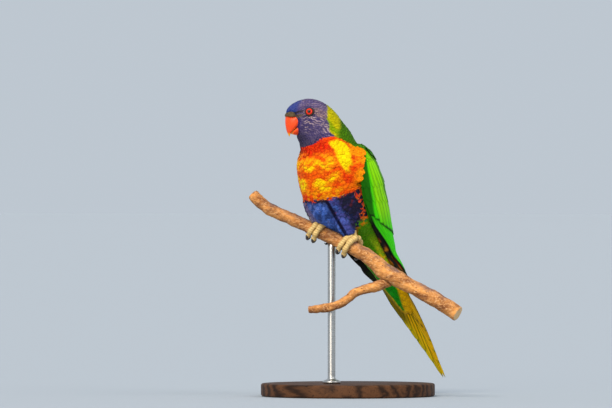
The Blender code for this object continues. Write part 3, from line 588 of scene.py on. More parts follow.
coat = {  # along the trunk from the bill: depth of the coat, feather spacing, length and half width
    "place": [0.0, 1.5, 3.0, 5.0, 7.0, 9.0, 10.5, 12.0, 15.0, 17.5, 20.0, 25.0],
    "depth": [0.4, 0.5, 0.6, 0.8, 1.0, 1.3, 1.5, 1.7, 1.8, 1.6, 1.2, 0.8],
    "spacing": [0.52, 0.56, 0.64, 0.72, 0.9, 1.2, 1.45, 1.65, 1.7, 1.8, 2.2, 2.5],
    "length": [1.5, 2.0, 2.8, 4.0, 5.2, 6.4, 7.4, 8.2, 8.4, 9.0, 13.0, 15.0],
    "halfWidth": [0.4, 0.44, 0.48, 0.54, 0.85, 1.6, 2.3, 2.9, 2.7, 2.4, 2.6, 2.8],
}


def coatAt(what, place):
    return np.interp(place, coat["place"], coat[what])


eyeCentre = np.array([10.3, -21.2, 97.3])
eyeRadius = 3.9
eyeLook = np.array([1.0, -0.40, 0.22])


def eyePlace(side):
    mirror = np.array([side, 1.0, 1.0])
    centre = turned(eyeCentre * mirror)
    return centre, unit(turned((eyeCentre + eyeLook) * mirror) - centre)


def trunkSkinTable():
    places = np.concatenate([[0.0], np.linspace(0.04, 24.9, 190), [24.95]])
    angles = np.linspace(0, 2 * math.pi, 97)
    place, angle = np.meshgrid(places, angles, indexing="ij")
    point, _, normal = trunkFrame(place, angle)
    table = point - normal * (coatAt("depth", place) + 0.1)[..., None]
    for k, row in ((0, 1), (-1, -2)):
        table[k] = table[row].mean(0)
    return table


def thighTable(side, shrink):
    rows = courseAt(thighRows[side], np.linspace(0, 3, 40))
    return tubeTable(rows[:, :3], rows[:, 3] - shrink, 33)


skinParts = [gridPiece("skin", trunkSkinTable())]
skinParts += [gridPiece(f"thighSkin{side}", thighTable(side, 1.5)) for side in (1, -1)]
skin = joined("skin", skinParts)
applied(skin, "REMESH", mode="VOXEL", voxel_size=0.0009, use_smooth_shade=True)
applied(skin, "SMOOTH", factor=0.5, iterations=4)
points = pointsOf(skin)
for side in (1, -1):  # the skin sinks round each eye, under the lids
    centre, look = eyePlace(side)
    out = (points - centre) @ look
    aside = np.linalg.norm(points - centre - out[:, None] * look, axis=1)
    sink = (1 - soft(aside, 3.3, 4.4)) * (out > 0)
    points -= look * (np.maximum(out - 1.2, 0) * sink)[:, None]
movePoints(skin, points)
print("skin made:", len(skin.data.polygons), "faces")

# Where any point of the skin lies on the body: part (0 trunk, 1 or -1 thigh), place, angle, way of the coat
places, angles = np.linspace(0.05, 24.8, 300), np.radians(np.linspace(-180, 178, 180))
place, angle = np.meshgrid(places, angles, indexing="ij")
mapPoint, mapWay, _ = (part.reshape(-1, 3) for part in trunkFrame(place, angle))
mapPart = np.zeros(place.size)
mapPlace, mapAngle = place.ravel(), angle.ravel()
for side in (1, -1):
    rows = courseAt(thighRows[side], np.linspace(0.3, 3, 40))
    table = tubeTable(rows[:, :3], rows[:, 3], 33, ends=False)
    ways = np.broadcast_to(unit(np.gradient(rows[:, :3], axis=0))[:, None], table.shape)
    mapPoint = np.vstack([mapPoint, table.reshape(-1, 3)])
    mapWay = np.vstack([mapWay, ways.reshape(-1, 3)])
    mapPart = np.concatenate([mapPart, np.full(table.shape[0] * table.shape[1], side)])
    mapPlace = np.concatenate([mapPlace, np.repeat(np.linspace(0.1, 1, 40), 33)])
    mapAngle = np.concatenate([mapAngle, np.tile(np.linspace(0, 2 * math.pi, 33), 40)])
bodyMap = nearestOf(mapPoint)


def lookUp(points):
    found = bodyMap(points)
    return mapPart[found], mapPlace[found], mapAngle[found], mapWay[found]


# Markings

dyes = palette(
    violet="#483e80",
    crown="#554c86",
    forehead="#16409c",
    lore="#14152a",
    mauve="#ceb4b2",
    ink="#201d4a",
    buff="#c9a184",
    throat="#2a2a48",
    olive="#6b5a38",
    collar="#c4b400",
    collarEdge="#86a800",
    nape="#4c8004",
    napeDark="#234602",
    mantle="#348806",
    back="#5a9a08",
    red="#e42204",
    orange="#f86a04",
    tangerine="#fc7404",
    amber="#fc9a02",
    yellow="#ffdc00",
    rust="#9c2406",
    soot="#2e100a",
    navy="#1e2138",
    blue="#4a72cc",
    blueEdge="#1c357c",
    paleBlue="#7c92dc",
    plum="#2a1f2e",
    legViolet="#4a56a4",
    vent="#469402",
    ventEdge="#7ca00c",
    undertail="#98c00c",
    undertailEdge="#c8c020",
    rump="#2f9010",
    gold="#ffc400",
    leaf="#a8b80c",
    umber="#5a4a10",
    wedge="#12a80e",
)


def dyed(tint, name, share):
    return mixed(tint, dyes[name], share)


def underTail(along, aside):
    # from its left edge to its right: dark olive, leaf green, bright gold, brown; green wedge by the branch
    aside = np.asarray(aside, float)
    left = np.interp(along, [20, 28, 41, 50, 56], [-6.5, -5, -3, -2, -1])
    right = np.interp(along, [20, 28, 41, 50, 56], [8, 6.3, 2.5, -0.5, -1])
    shade = np.tile(dyes["gold"], (*aside.shape, 1))
    leafEdge = np.interp(along, [50, 110], [-4.0, 0.5])
    shade = dyed(shade, "leaf", (1 - soft(aside, leafEdge - 2.5, leafEdge + 1.0)) * 0.5)
    dark = (1 - soft(aside, left - 3.5, left + 0.5)) * (1 - soft(along, 58, 72))
    shade = dyed(shade, "umber", dark * 0.75)
    shade = dyed(shade, "umber", soft(aside, 9.5, 12) * 0.6)
    stroke = np.abs(aside - np.interp(along, [53.5, 66.8, 69], [0.6, 6.7, 8.5]))  # tip line of a covert
    stroke = (1 - soft(stroke, 0.3, 0.9)) * soft(along, 52, 54) * (1 - soft(along, 68, 69.5))
    shade = mixed(shade, dyes["umber"] * 0.4, stroke * 0.9)
    wedge = soft(aside, left - 0.7, left + 0.7) * (1 - soft(aside, right - 0.7, right + 0.7))
    return dyed(shade, "wedge", wedge * (1 - soft(along, 49, 54)))


def markings(part, place, angle, roll, where):
    # base, edge and shaft colour of each feather, with how much of the last two shows
    count = len(place)
    fullTurn = np.degrees(angle) % 360
    a = np.minimum(fullTurn, 360 - fullTurn)
    roll = np.asarray(roll)
    shake = (roll[:, 0] - 0.5) * 0.5
    base = np.tile(dyes["violet"], (count, 1))
    edge = np.tile(dyes["ink"], (count, 1))
    shaft = np.tile(dyes["mauve"], (count, 1))
    edgeShare = np.full(count, 0.6)
    shaftShare = np.full(count, 0.12)

    # head: violet with pale streaks that run back from the bill, bluest over the bill
    base = dyed(base, "crown", 1 - soft(a, 30, 60))
    # fine pale lines, broken along their length
    phase = (a + 3.5 * place) / 6.0 + 1.2 * softNoise(a / 11, place * 1.1, 2)
    streak = soft(np.cos(2 * math.pi * phase), 0.1, 0.8)
    streak = streak * soft(softNoise(phase * 1.7, place * 1.3, 9), 0.25, 0.55)
    blueFace = (1 - soft(place + a / 60, 2.9, 3.9)) * (1 - soft(a, 62, 76))
    cheek = soft(place, 2.6, 4.0) * soft(a, 48, 66) * (1 - soft(a, 116, 140))
    scalp = soft(place, 1.6, 3.0) * (1 - soft(a, 40, 62))
    jaw = soft(place, 5.6, 6.8) * soft(a, 84, 96)  # plainer at the back of the jaw
    pale = streak * np.clip(cheek + 0.45 * scalp, 0, 1) * (1 - 0.75 * jaw)
    base = dyed(base, "ink", 0.4 * cheek * (1 - streak))
    base = dyed(base, "mauve", 0.9 * pale)
    edge = dyed(edge, "mauve", 0.7 * pale)
    base = dyed(base, "forehead", blueFace)
    edge = dyed(edge, "throat", blueFace)
    ear = 1 - soft(np.hypot((place - 6.0) / 1.5, (a - 62) / 15), 0.5, 1.2)
    base = dyed(base, "buff", ear * (0.25 + 0.6 * streak))
    bare = 1 - soft(np.hypot((place - 2.2) / 1.5, (a - 80) / 9), 0.5, 1.1)
    base = dyed(base, "olive", bare * 0.8)
    edge = mixed(edge, dyes["olive"] * 0.4, bare * 0.7)
    lore = (1 - soft(np.abs(a - 66 - (place - 2) * 0.5), 2, 6)) * (1 - soft(place, 3.0, 3.7))
    base = dyed(base, "lore", lore)
    chin = soft(a, 116, 146)
    base = dyed(base, "throat", 0.8 * chin)
    dusk = soft(place, 8.2, 9.3) * soft(a, 95, 120)
    base = dyed(base, "throat", 0.65 * dusk)

    # collar and nape
    front = np.interp(a, [0, 20, 48, 64, 72, 86], [6.3, 6.4, 6.75, 7.25, 8.25, 9.6])
    back = np.interp(a, [0, 20, 47, 70, 86], [8.4, 8.6, 9.05, 9.4, 9.7])
    behind = soft(place + shake * 0.25, front - 0.1, front + 0.1) * (a < 89)
    for target, name in ((base, "collar"), (edge, "collarEdge"), (shaft, "yellow")):
        target[:] = dyed(target, name, behind)
    greenSide = behind * np.maximum(1 - soft(a, 8, 26), soft(a, 58, 66) * (1 - soft(a, 72, 80)))
    base = dyed(base, "vent", greenSide * 0.75)
    edgeShare = np.where(behind > 0.5, 0.5, edgeShare)
    shaftShare = np.where(behind > 0.5, 0.15, shaftShare)
    green = soft(place + shake * 0.5, back - 0.25, back + 0.3) * (a < 96)
    for target, name in ((base, "nape"), (edge, "napeDark"), (shaft, "vent")):
        target[:] = dyed(target, name, green)
    edgeShare = np.where(green > 0.5, 0.75, edgeShare)
    mantle = green * soft(place, 10.6, 12.0)
    base = dyed(base, "mantle", mantle)
    base = dyed(base, "back", mantle * (roll[:, 1] > 0.7) * 0.7)
    base = dyed(base, "back", mantle * (roll[:, 2] > 0.9) * 0.4)

    # breast
    top = np.interp(a, [86, 106, 133, 180], [9.6, 9.25, 9.5, 9.55])
    low = np.interp(a, [95, 110, 124, 143, 180], [14.0, 14.15, 14.35, 14.6, 14.65])
    sideLine = np.interp(place, [9.5, 10.3, 11.0, 11.6, 12.1, 12.5, 13, 14], [87, 88, 84, 78, 75, 78, 86, 90])
    breast = (place + shake * 0.2 > top) & (place + shake * 0.35 < low) & (a > sideLine)
    scale = softNoise(place * 2.6 + 0.4 * np.sin(a * 0.2), a * 0.05, 5)  # bars across the breast
    ground = np.tile(dyes["tangerine"], (count, 1))
    rim = np.tile(dyes["red"], (count, 1))
    bib = (1 - soft(place + shake * 0.6, 10.5, 12.0)) * soft(a, 104, 122)
    ground = dyed(ground, "red", bib)
    rim = dyed(rim, "rust", bib)
    middle = np.interp(place, [9.8, 10.6, 11.5, 12.9, 13.3], [102, 110, 116, 118, 119])
    reach = np.interp(place, [9.6, 9.9, 10.6, 11.5, 12.9, 13.2], [3, 10, 16, 14, 4.5, 0.5])
    wedge = (1 - soft(np.abs(a - middle) / reach, 0.85, 1.15)) * soft(place, 9.75, 10.1)
    flankSide = soft(middle - a, 2, 14) * soft(place, 10.2, 11)
    ground = dyed(ground, "amber", flankSide * 0.8)
    ground = dyed(ground, "yellow", wedge)
    rim = dyed(rim, "amber", np.maximum(wedge, flankSide * 0.6))
    for spotPlace, spotAngle, wide, tall in ((12.0, 101, 0.25, 4), (13.25, 121, 0.5, 8), (12.7, 112, 0.3, 5)):
        spot = 1 - soft(np.hypot((place - spotPlace) / wide, (a - spotAngle) / tall), 0.6, 1.3)
        ground = dyed(ground, "red", spot * 0.85)
    lowYellow = soft(place, 10.9, 12.4) * (1 - soft(place, 13.8, 14.3)) * soft(a, 128, 142)
    golden = mixed(dyes["amber"], dyes["yellow"], soft(scale, 0.3, 0.7))
    ground = mixed(ground, golden, lowYellow * (0.25 + 0.75 * soft(roll[:, 3] + 0.5 * scale, 0.5, 0.9)))
    rim = dyed(rim, "orange", lowYellow * 0.3)
    deepBar = (1 - soft(scale, 0.22, 0.42)) * (1 - wedge)
    ground = dyed(ground, "red", deepBar * 0.75)
    sootBar = bib * soft(place, 10.9, 11.3) * (roll[:, 1] > 0.7)
    rim = dyed(rim, "soot", np.maximum(sootBar, (roll[:, 2] > 0.9) & (wedge < 0.2) & (a > 130)) * 0.6)
    hem = soft(place, 13.8, 14.4)
    ground = mixed(ground, mixed(dyes["red"], dyes["amber"], (roll[:, 0] > 0.5) * 1.0), hem * 0.75)
    rim = dyed(rim, "rust", hem * 0.7)
    base[breast], edge[breast] = ground[breast], rim[breast]
    shaft[breast] = dyed(ground, "yellow", 0.3)[breast]
    edgeShare[breast] = (0.4 - 0.3 * wedge - 0.2 * flankSide)[breast]
    shaftShare[breast] = 0.2

    # belly, vent and tail coverts
    belly = (place + shake * 0.35 >= low) & (a > 60)
    ground = np.tile(dyes["navy"], (count, 1))
    rim = np.tile(dyes["plum"], (count, 1))
    # blue and violet on both sides of a dark line of painted shade that runs down the crease in front of the
    # left thigh
    across = 0.766 * where[:, 0] + 0.643 * where[:, 1]
    aside = (across + 3.8 - (28.2 - where[:, 2]) * 0.57) * 0.87
    thighCreaseShade = 1 - soft(np.abs(aside), 0.7, 1.7)
    blueLeft = (1 - soft(aside, -1.8, -0.8)) * soft(aside, -19, -13)
    violetRight = soft(aside, 0.8, 1.8) * (1 - soft(aside + shake * 4, 5.5, 9))
    bluePatch = blueLeft * soft(place, 14.7, 15.0)
    smear = softNoise(across * 0.45 + 9, where[:, 2] * 0.16 + 0.8 * roll[:, 0], 4)  # runs down the belly
    fleck = softNoise(across * 0.8, where[:, 2] * 0.5, 6)
    ground = dyed(ground, "blue", bluePatch * (0.3 + 0.7 * soft(smear, 0.2, 0.6)))
    ground = dyed(ground, "paleBlue", bluePatch * soft(fleck, 0.62, 0.85) * 0.5)
    ground = dyed(ground, "mauve", (1 - soft(aside, -17, -13.5)) * soft(place, 14.9, 15.8) * 0.5)
    rim = dyed(rim, "blueEdge", bluePatch)
    ground = dyed(ground, "legViolet", violetRight * (0.25 + 0.7 * soft(smear, 0.25, 0.7)))
    ground = dyed(ground, "blue", violetRight * soft(fleck, 0.6, 0.8) * 0.6)
    rim = dyed(rim, "blueEdge", violetRight * 0.8)
    ground = dyed(ground, "violet", (1 - bluePatch) * (roll[:, 2] > 0.7) * 0.35)
    ground = dyed(ground, "rust", (roll[:, 3] > 0.94) * (1 - bluePatch) * 0.25)
    # painted shade in the crease between the left thigh and the belly
    ground = mixed(ground, dyes["ink"] * 0.4, thighCreaseShade)
    rim = mixed(rim, dyes["ink"] * 0.4, thighCreaseShade)
    ventLine = np.interp(a, [100, 125, 140, 160, 180], [16.1, 16.7, 17.3, 18.0, 18.3])
    vent = soft(place + shake * 0.6, ventLine - 0.2, ventLine + 0.2)
    ground = dyed(ground, "vent", vent)
    rim = dyed(rim, "ventEdge", vent)
    lime = soft(a, 106, 113) * (1 - soft(a, 122, 133)) * soft(place, 17.7, 18.9)
    brown = (1 - soft(a, 104, 111)) * soft(place, 17.6, 18.4)
    ground = dyed(ground, "undertail", lime)
    ground = dyed(ground, "gold", lime * soft(place, 18.5, 19.5) * (roll[:, 1] > 0.3) * 0.85)
    rim = dyed(rim, "undertailEdge", lime)
    ground = mixed(ground, mixed(dyes["rust"], dyes["amber"], roll[:, 1]), brown * 0.7)
    rim = dyed(rim, "soot", brown * 0.8)
    under = soft(place, 20.0, 20.8)
    tailAlong = np.interp(place, [20, 21, 22, 23, 24, 25], [0, 12, 26, 40, 52, 56])
    tailAside = np.interp(place, [20, 21, 22, 23, 24, 25], [11.5, 11.5, 12, 10.5, 7, 4]) * np.sin(angle)
    golden = underTail(tailAlong, tailAside)
    ground = mixed(ground, golden, under)
    rim = mixed(rim, golden * 0.45, under)
    barred = (roll[:, 2] > 0.55) & (a > 96) & (a < 117) & (place < 16.3)
    border = (roll[:, 1] > 0.7) & (np.abs(place - ventLine - 0.1) < 0.35) & (a < 150)
    rim = mixed(rim, mixed(dyes["red"], dyes["amber"], roll[:, 0]), barred * 0.95)
    rim = dyed(rim, "amber", border * 0.9)
    ground = dyed(ground, "orange", border * 0.5)
    ground = mixed(ground, mixed(dyes["red"], dyes["orange"], roll[:, 1]), barred * 0.7)
    base[belly], edge[belly], shaft[belly] = ground[belly], rim[belly], ground[belly]
    edgeShare[belly] = np.where(barred | border, 0.95, 0.5)[belly]
    rump = (place > 13.5) & (a <= 88)
    base[rump], edge[rump], shaft[rump] = dyes["rump"], dyes["napeDark"], dyes["mantle"]
    edgeShare[rump] = 0.5

    # thighs
    leg = part != 0
    ground = np.tile(dyes["navy"], (count, 1))
    ground = dyed(ground, "blue", blueLeft * 0.8)
    ground = dyed(ground, "legViolet", violetRight * 0.8)
    ground = dyed(ground, "violet", (roll[:, 1] > 0.6) * 0.4)
    ground = mixed(ground, mixed(dyes["violet"], dyes["mauve"], 0.35), (part < 0) * 0.5)
    # the same painted shade on the thigh's side of the crease
    ground = mixed(ground, dyes["ink"] * 0.4, thighCreaseShade * (part > 0))
    base[leg], edge[leg], shaft[leg] = ground[leg], dyes["blueEdge"], ground[leg]
    edgeShare[leg] = 0.5
    base *= (0.92 + 0.16 * roll[:, 3])[:, None]
    return base, edge, shaft, edgeShare, shaftShare


def tintSkin():
    points = pointsOf(skin)
    part, place, angle, _ = lookUp(points)
    roll = np.full((len(points), 4), 0.5)
    base, edge, _, _, _ = markings(part, place, angle, roll, points)
    addTint(skin, mixed(base, edge, 0.3) * 0.85)


tintSkin()
hand(skin, skinMaterial(), "body_feathers", "torso", "neck", "head", "thigh_left", "thigh_right")
skinTree = treeOf(skin)

# Feathers as closed thin vanes: an upper sheet and a lower one that share their rim


def vaneFaces(rows, columns):
    upper = np.arange(rows * columns).reshape(rows, columns)
    lower = upper.copy()
    inside = np.arange((rows - 2) * (columns - 2)).reshape(rows - 2, columns - 2)
    lower[1:-1, 1:-1] = rows * columns + inside
    faces = []
    for sheet, flip in ((upper, False), (lower, True)):
        quads = np.stack([sheet[:-1, :-1], sheet[:-1, 1:], sheet[1:, 1:], sheet[1:, :-1]], -1)
        quads = quads.reshape(-1, 4)
        faces.append(quads[:, ::-1] if flip else quads)
    return np.vstack(faces)


def sheets(upper, lower):  # points or values of both sheets as one row a feather
    count = len(upper)
    inner = lower[:, 1:-1, 1:-1]
    return np.concatenate([grid.reshape(count, -1, grid.shape[-1]) for grid in (upper, inner)], 1)


def featherPiece(name, upper, lower, tintUpper, tintLower, vane, bakeRoot):
    count, rows, columns = upper.shape[:3]
    points = sheets(upper, lower)
    faces = vaneFaces(rows, columns)
    each = points.shape[1]
    allFaces = (faces[None] + (np.arange(count) * each)[:, None, None]).reshape(-1, 4)
    mesh = bpy.data.meshes.new(name)
    mesh.from_pydata(toMetres(points.reshape(-1, 3)).tolist(), [], allFaces.tolist())
    mesh.shade_smooth()
    rim = np.ones(each, bool)
    rim[rows * columns :] = False
    rim[: rows * columns].reshape(rows, columns)[1:-1, 1:-1] = False
    ends = np.empty(len(mesh.edges) * 2, int)
    mesh.edges.foreach_get("vertices", ends)
    sharp = rim[ends % each].reshape(-1, 2).all(1)  # so that the upper sheet shades on its own
    mesh.attributes.new("sharp_edge", "BOOLEAN", "EDGE").data.foreach_set("value", sharp)
    obj = bpy.data.objects.new(name, mesh)
    bpy.context.scene.collection.objects.link(obj)
    addTint(obj, np.clip(sheets(tintUpper, tintLower).reshape(-1, 3), 0, 1))
    addVector(obj, "vane", sheets(vane, vane).reshape(-1, 3))
    # every feather is a small patch of the bake map, at its root's place on the unwrapped coat
    s, t = np.meshgrid(np.linspace(-1, 1, columns), np.linspace(-1, 1, rows))
    patch = np.stack([s, t], -1)[None] * 0.0015 + np.clip(bakeRoot, 0.01, 0.99)[:, None, None]
    flat = sheets(patch, patch).reshape(-1, 2)
    layer = mesh.uv_layers.new(name="OFBake")
    corners = np.empty(len(mesh.loops), int)
    mesh.loops.foreach_get("vertex_index", corners)
    layer.data.foreach_set("uv", flat[corners].ravel())
    return obj


def patternOn(base, edge, shaft, edgeShare, shaftShare, tGrid, sGrid, grain):
    # base colour, a rim round the tip, a pale shaft line and a darker root
    rim = np.clip(soft(np.abs(sGrid), 0.55, 1.0) * 0.5 + soft(tGrid, 0.78, 1.0), 0, 1) * edgeShare
    shaftLine = (1 - soft(np.abs(sGrid), 0.0, 0.55)) * shaftShare * soft(tGrid, 0.2, 0.6)
    tint = mixed(mixed(base, edge, rim), shaft, shaftLine)
    return tint * (0.86 + 0.14 * soft(tGrid, 0.0, 0.5) + 0.14 * (grain - 0.5))[..., None]


bodyShape = {
    "rows": [0.0, 0.4, 0.68, 0.84, 0.94, 1.0],
    "widths": [0.5, 0.92, 1.0, 0.88, 0.62, 0.2],
    "tipRound": 0.012,
    "thickness": 0.1,
    "fray": 0.018,
}


def wingRoom(place, degrees):  # how far inside the folded wing's outline a point lies, in millimetres
    at = place - 11
    low = np.interp(at, wingCourse[:, 0], wingCourse[:, 1])
    high = np.interp(at, wingCourse[:, 0], wingCourse[:, 2])
    return np.minimum(np.minimum(low - degrees, degrees - high) * 0.47, (at - 0.55) * 11)


def eased(values, axis):  # each value drawn towards its neighbours
    spread = np.moveaxis(values, axis, 0)
    padded = np.concatenate([spread[:1], spread, spread[-1:]])
    return np.moveaxis(0.5 * spread + 0.25 * (padded[:-2] + padded[2:]), 0, axis)


def ownNumber(shape):  # one random number a feather, at all its points
    return np.broadcast_to(chance.random(shape[0])[:, None, None], shape)


def layFeathers(roots, ways, length, halfWidth, rise, columns, over=False):
    # feathers lie down on the skin from their roots and lift a little towards their tips
    count = len(roots)
    t = np.array(bodyShape["rows"])
    s = np.linspace(-1, 1, columns)
    tGrid, sGrid = np.meshgrid(t, s, indexing="ij")
    wide = np.interp(tGrid, t, bodyShape["widths"]) * sGrid
    ends = chance.normal(0, bodyShape["fray"], (count, 1, columns)) * soft(tGrid, 0.7, 1.0)
    along = length[:, None, None] * (tGrid - bodyShape["tipRound"] * sGrid**2 * tGrid**2 * 2 + ends)
    aside = halfWidth[:, None, None] * wide
    normals = np.array([skinTree.find_nearest(p)[1] for p in roots.tolist()])
    ways = unit(ways - normals * np.sum(ways * normals, -1, keepdims=True))
    sides = np.cross(normals, ways)
    flat = roots[:, None, None] + ways[:, None, None] * along[..., None]
    flat = flat + sides[:, None, None] * aside[..., None]
    found = [skinTree.find_nearest(p)[:2] for p in flat.reshape(-1, 3).tolist()]
    hit = np.array([f[0] for f in found]).reshape(flat.shape)
    out = np.array([f[1] for f in found]).reshape(flat.shape)
    out = unit(out + normals[:, None, None] * 0.6)
    height = -0.12 + rise[:, None, None] * tGrid**0.8
    height = height + 0.12 * halfWidth[:, None, None] * (1 - sGrid**2) * tGrid
    if over:  # over the wing's front, like the feathers of the shoulder
        _, place, angle, _ = lookUp(flat.reshape(-1, 3))
        around = np.degrees(angle) % 360
        inside = wingRoom(place, np.minimum(around, 360 - around)).reshape(height.shape)
        need = coatAt("depth", place).reshape(height.shape) + 3.0 * soft(inside, -5.0, -1.4)
        need = need + 1.3 * soft(inside, -1.4, 4.5) + 0.3 * (tGrid - 0.5)
        inside = inside - 9 * soft(place, 13.5, 14.0).reshape(height.shape)
        height = np.where(inside > -5.5, np.maximum(height, need * soft(inside, -5.5, -3.2)), height)
        for axis in (1, 2, 1, 2):  # evens out the small steps
            height = eased(height, axis)
    upper = hit + out * height[..., None]
    lower = upper - out * (bodyShape["thickness"] * (1 - 0.5 * tGrid))[..., None]
    vane = np.stack([aside, along, ownNumber(aside.shape)], -1)
    return upper, lower, vane, tGrid, sGrid


def scatter():
    # roots over the skin, spread as evenly as their spacing asks
    skin.data.calc_loop_triangles()
    corners = np.empty(len(skin.data.loop_triangles) * 3, int)
    skin.data.loop_triangles.foreach_get("vertices", corners)
    p = pointsOf(skin)[corners.reshape(-1, 3)]
    area = np.linalg.norm(np.cross(p[:, 1] - p[:, 0], p[:, 2] - p[:, 0]), axis=1) / 2
    part, place, _, _ = lookUp(p.mean(1))
    spacing = np.where(part == 0, coatAt("spacing", place), 1.55)
    weight = area / spacing**2
    picks = chance.choice(len(area), int(weight.sum() * 5), p=weight / weight.sum())
    u, v = np.sqrt(chance.random(len(picks))), chance.random(len(picks))
    q = p[picks]
    spots = q[:, 0] * (1 - u)[:, None] + q[:, 1] * (u * (1 - v))[:, None] + q[:, 2] * (u * v)[:, None]
    gaps = spacing[picks]
    cell = 2.6  # wider than any spacing
    held, kept = {}, []
    around = [(i, j, k) for i in (-1, 0, 1) for j in (-1, 0, 1) for k in (-1, 0, 1)]
    keys = np.floor(spots / cell).astype(int).tolist()
    for n, (spot, gap, key) in enumerate(zip(spots.tolist(), gaps.tolist(), keys)):
        near = False
        for i, j, k in around:
            for other in held.get((key[0] + i, key[1] + j, key[2] + k), ()):
                if sum((a - b) ** 2 for a, b in zip(spot, other)) < gap * gap:
                    near = True
                    break
            if near:
                break
        if not near:
            held.setdefault(tuple(key), []).append(spot)
            kept.append(n)
    return spots[kept]


# Perch, from the solids' course: place along, over, back and radius

branchSlope, branchYaw = math.radians(23.0), math.radians(15.0)
level = np.array([math.cos(branchYaw), math.sin(branchYaw), 0.0])
backOfBranch = np.array([-math.sin(branchYaw), math.cos(branchYaw), 0.0])
alongBranch = level * math.cos(branchSlope) - np.array([0.0, 0.0, math.sin(branchSlope)])
overBranch = np.cross(alongBranch, backOfBranch)
branchCourse = np.array(
    [
        (-76.0, 4.2, 1.2, 4.7),
        (-62.0, -0.4, 0.6, 5.1),
        (-38.0, -0.3, 0.0, 5.0),
        (-19.0, -0.1, 0.0, 5.2),
        (4.6, -0.1, 0.0, 5.4),
        (33.0, -0.9, 0.0, 5.7),
        (42.5, -3.4, 0.2, 6.3),
        (51.6, -6.4, 0.2, 7.1),
        (63.0, -7.4, 0.0, 6.6),
        (77.0, -8.1, -0.4, 5.9),
        (97.0, -9.2, -0.2, 6.0),
        (122.0, -12.2, 0.6, 6.3),
    ]
)


branchEnds = branchCourse[[0, -1], 0]


def branchPlace(at):  # centre and radius
    at = np.asarray(at, float)
    row = courseAt(branchCourse, np.interp(at, branchCourse[:, 0], np.arange(len(branchCourse))))
    centre = at[..., None] * alongBranch + row[..., 1:2] * overBranch + row[..., 2:3] * backOfBranch
    return centre, row[..., 3]


def clearOfBranch(points, gap=0.5):
    # moves points out of the branch, and says how deep each one was
    centres, radii = branchPlace(np.linspace(-30, 60, 120))
    flat = points.reshape(-1, 3)
    near = nearestOf(centres)(flat.tolist())
    off = flat - centres[near]
    off -= np.sum(off * alongBranch, -1, keepdims=True) * alongBranch
    far = np.linalg.norm(off, axis=1)
    deep = radii[near] + gap - far
    moved = flat + off / far[:, None] * np.maximum(deep, 0)[:, None]
    return moved.reshape(points.shape), deep.reshape(points.shape[:-1])


# Bill and cere, from their solids, with the facets smoothed away


def softCopy(node, name, voxel, passes):
    obj = copyOfNode(node, name)
    applied(obj, "REMESH", mode="VOXEL", voxel_size=voxel, use_smooth_shade=True)
    return applied(obj, "SMOOTH", factor=0.5, iterations=passes)


billHorn = billMaterial()
bills = {  # name, tip before the head turns, and how far its paler horn reaches
    "bill_upper": ("billUpper", (-35.2, 78.6), 7.5),
    "bill_lower": ("billLower", (-33.8, 81.0), 5.0),
}
mandibles = {node: softCopy(node, row[0], 0.00026, 8) for node, row in bills.items()}
mandibleTrees = {node: treeOf(piece) for node, piece in mandibles.items()}
for node, (_, tipAt, paleReach) in bills.items():
    piece = mandibles[node]
    other = mandibleTrees["bill_lower" if node == "bill_upper" else "bill_upper"]
    p = pointsOf(piece)
    reach = np.linalg.norm(p - turned(np.array([0.0, *tipAt])), axis=1)
    gap = np.array([other.find_nearest(Vector(spot))[3] for spot in p.tolist()])
    addNumber(piece, "tip", np.maximum(1 - soft(reach, 1.0, paleReach), 0.8 * (1 - soft(gap, 0.5, 1.5))))
    hand(piece, billHorn, "bill", node)
cereSkin = skinOfScales("cereSkin", "#7e683e", "#48391f", 0.28, 0.6)
hand(softCopy("cere", "cereSkin", 0.00022, 6), cereSkin, "cere", "cere")
billTrees = [treeOf(bpy.data.objects[name]) for name in ("billUpper", "billLower", "cereSkin")]
print("bill made")

# Eyes and lids

eye = {"pupil": 1.2, "iris": 2.6, "corneaRise": 0.35, "lidRing": 3.05, "lidThickness": 0.36, "lidOut": 2.4}
glass = eyeMaterial(eye["pupil"], eye["iris"])
lidSkin = skinOfScales("lidSkin", "#5c4c34", "#2a2420", 0.28, 0.6)
for side, nodeName, name in ((1, "eye_left", "eyeLeft"), (-1, "eye_right", "eyeRight")):
    centre, look = eyePlace(side)
    selectOnly(None)
    bpy.ops.mesh.primitive_uv_sphere_add(segments=56, ring_count=36, radius=eyeRadius)
    ball = bpy.context.object
    ball.name = ball.data.name = name
    local = np.empty(len(ball.data.vertices) * 3)
    ball.data.vertices.foreach_get("co", local)
    local = local.reshape(-1, 3)
    radial = np.hypot(local[:, 0], local[:, 1])
    bulge = np.where(local[:, 2] > 0, eye["corneaRise"] * np.maximum(1 - (radial / 2.8) ** 2, 0), 0)
    acrossEye = unit(np.cross(look, [0.0, 0.0, 1.0]))
    upEye = np.cross(acrossEye, look)
    frameOf = np.stack([acrossEye, upEye, look])
    addVector(ball, "gaze", local)
    local[:, 2] += bulge
    movePoints(ball, centre + local @ frameOf)
    bpy.ops.object.shade_smooth()
    merged(ball)
    hand(ball, glass, "eye", nodeName)
    turn = np.linspace(0, 2 * math.pi, 73)
    cross = np.linspace(0, 2 * math.pi, 17)
    turnGrid, beadGrid = np.meshgrid(turn, cross, indexing="ij")
    wide = 1 + 0.05 * np.cos(2 * turnGrid)
    beads = eye["lidThickness"] * (1 + 0.10 * np.sin(turnGrid * 26) * np.cos(beadGrid / 2) ** 2)
    ring = (eye["lidRing"] * wide + beads * np.cos(beadGrid))[..., None]
    outWay = np.cos(turnGrid)[..., None] * acrossEye + np.sin(turnGrid)[..., None] * upEye
    table = centre + look * eye["lidOut"] + outWay * ring + look * (beads * np.sin(beadGrid) * 1.1)[..., None]
    hand(gridPiece("lid" + name[3:], table), lidSkin, "cere")
print("eyes made")

# The coat

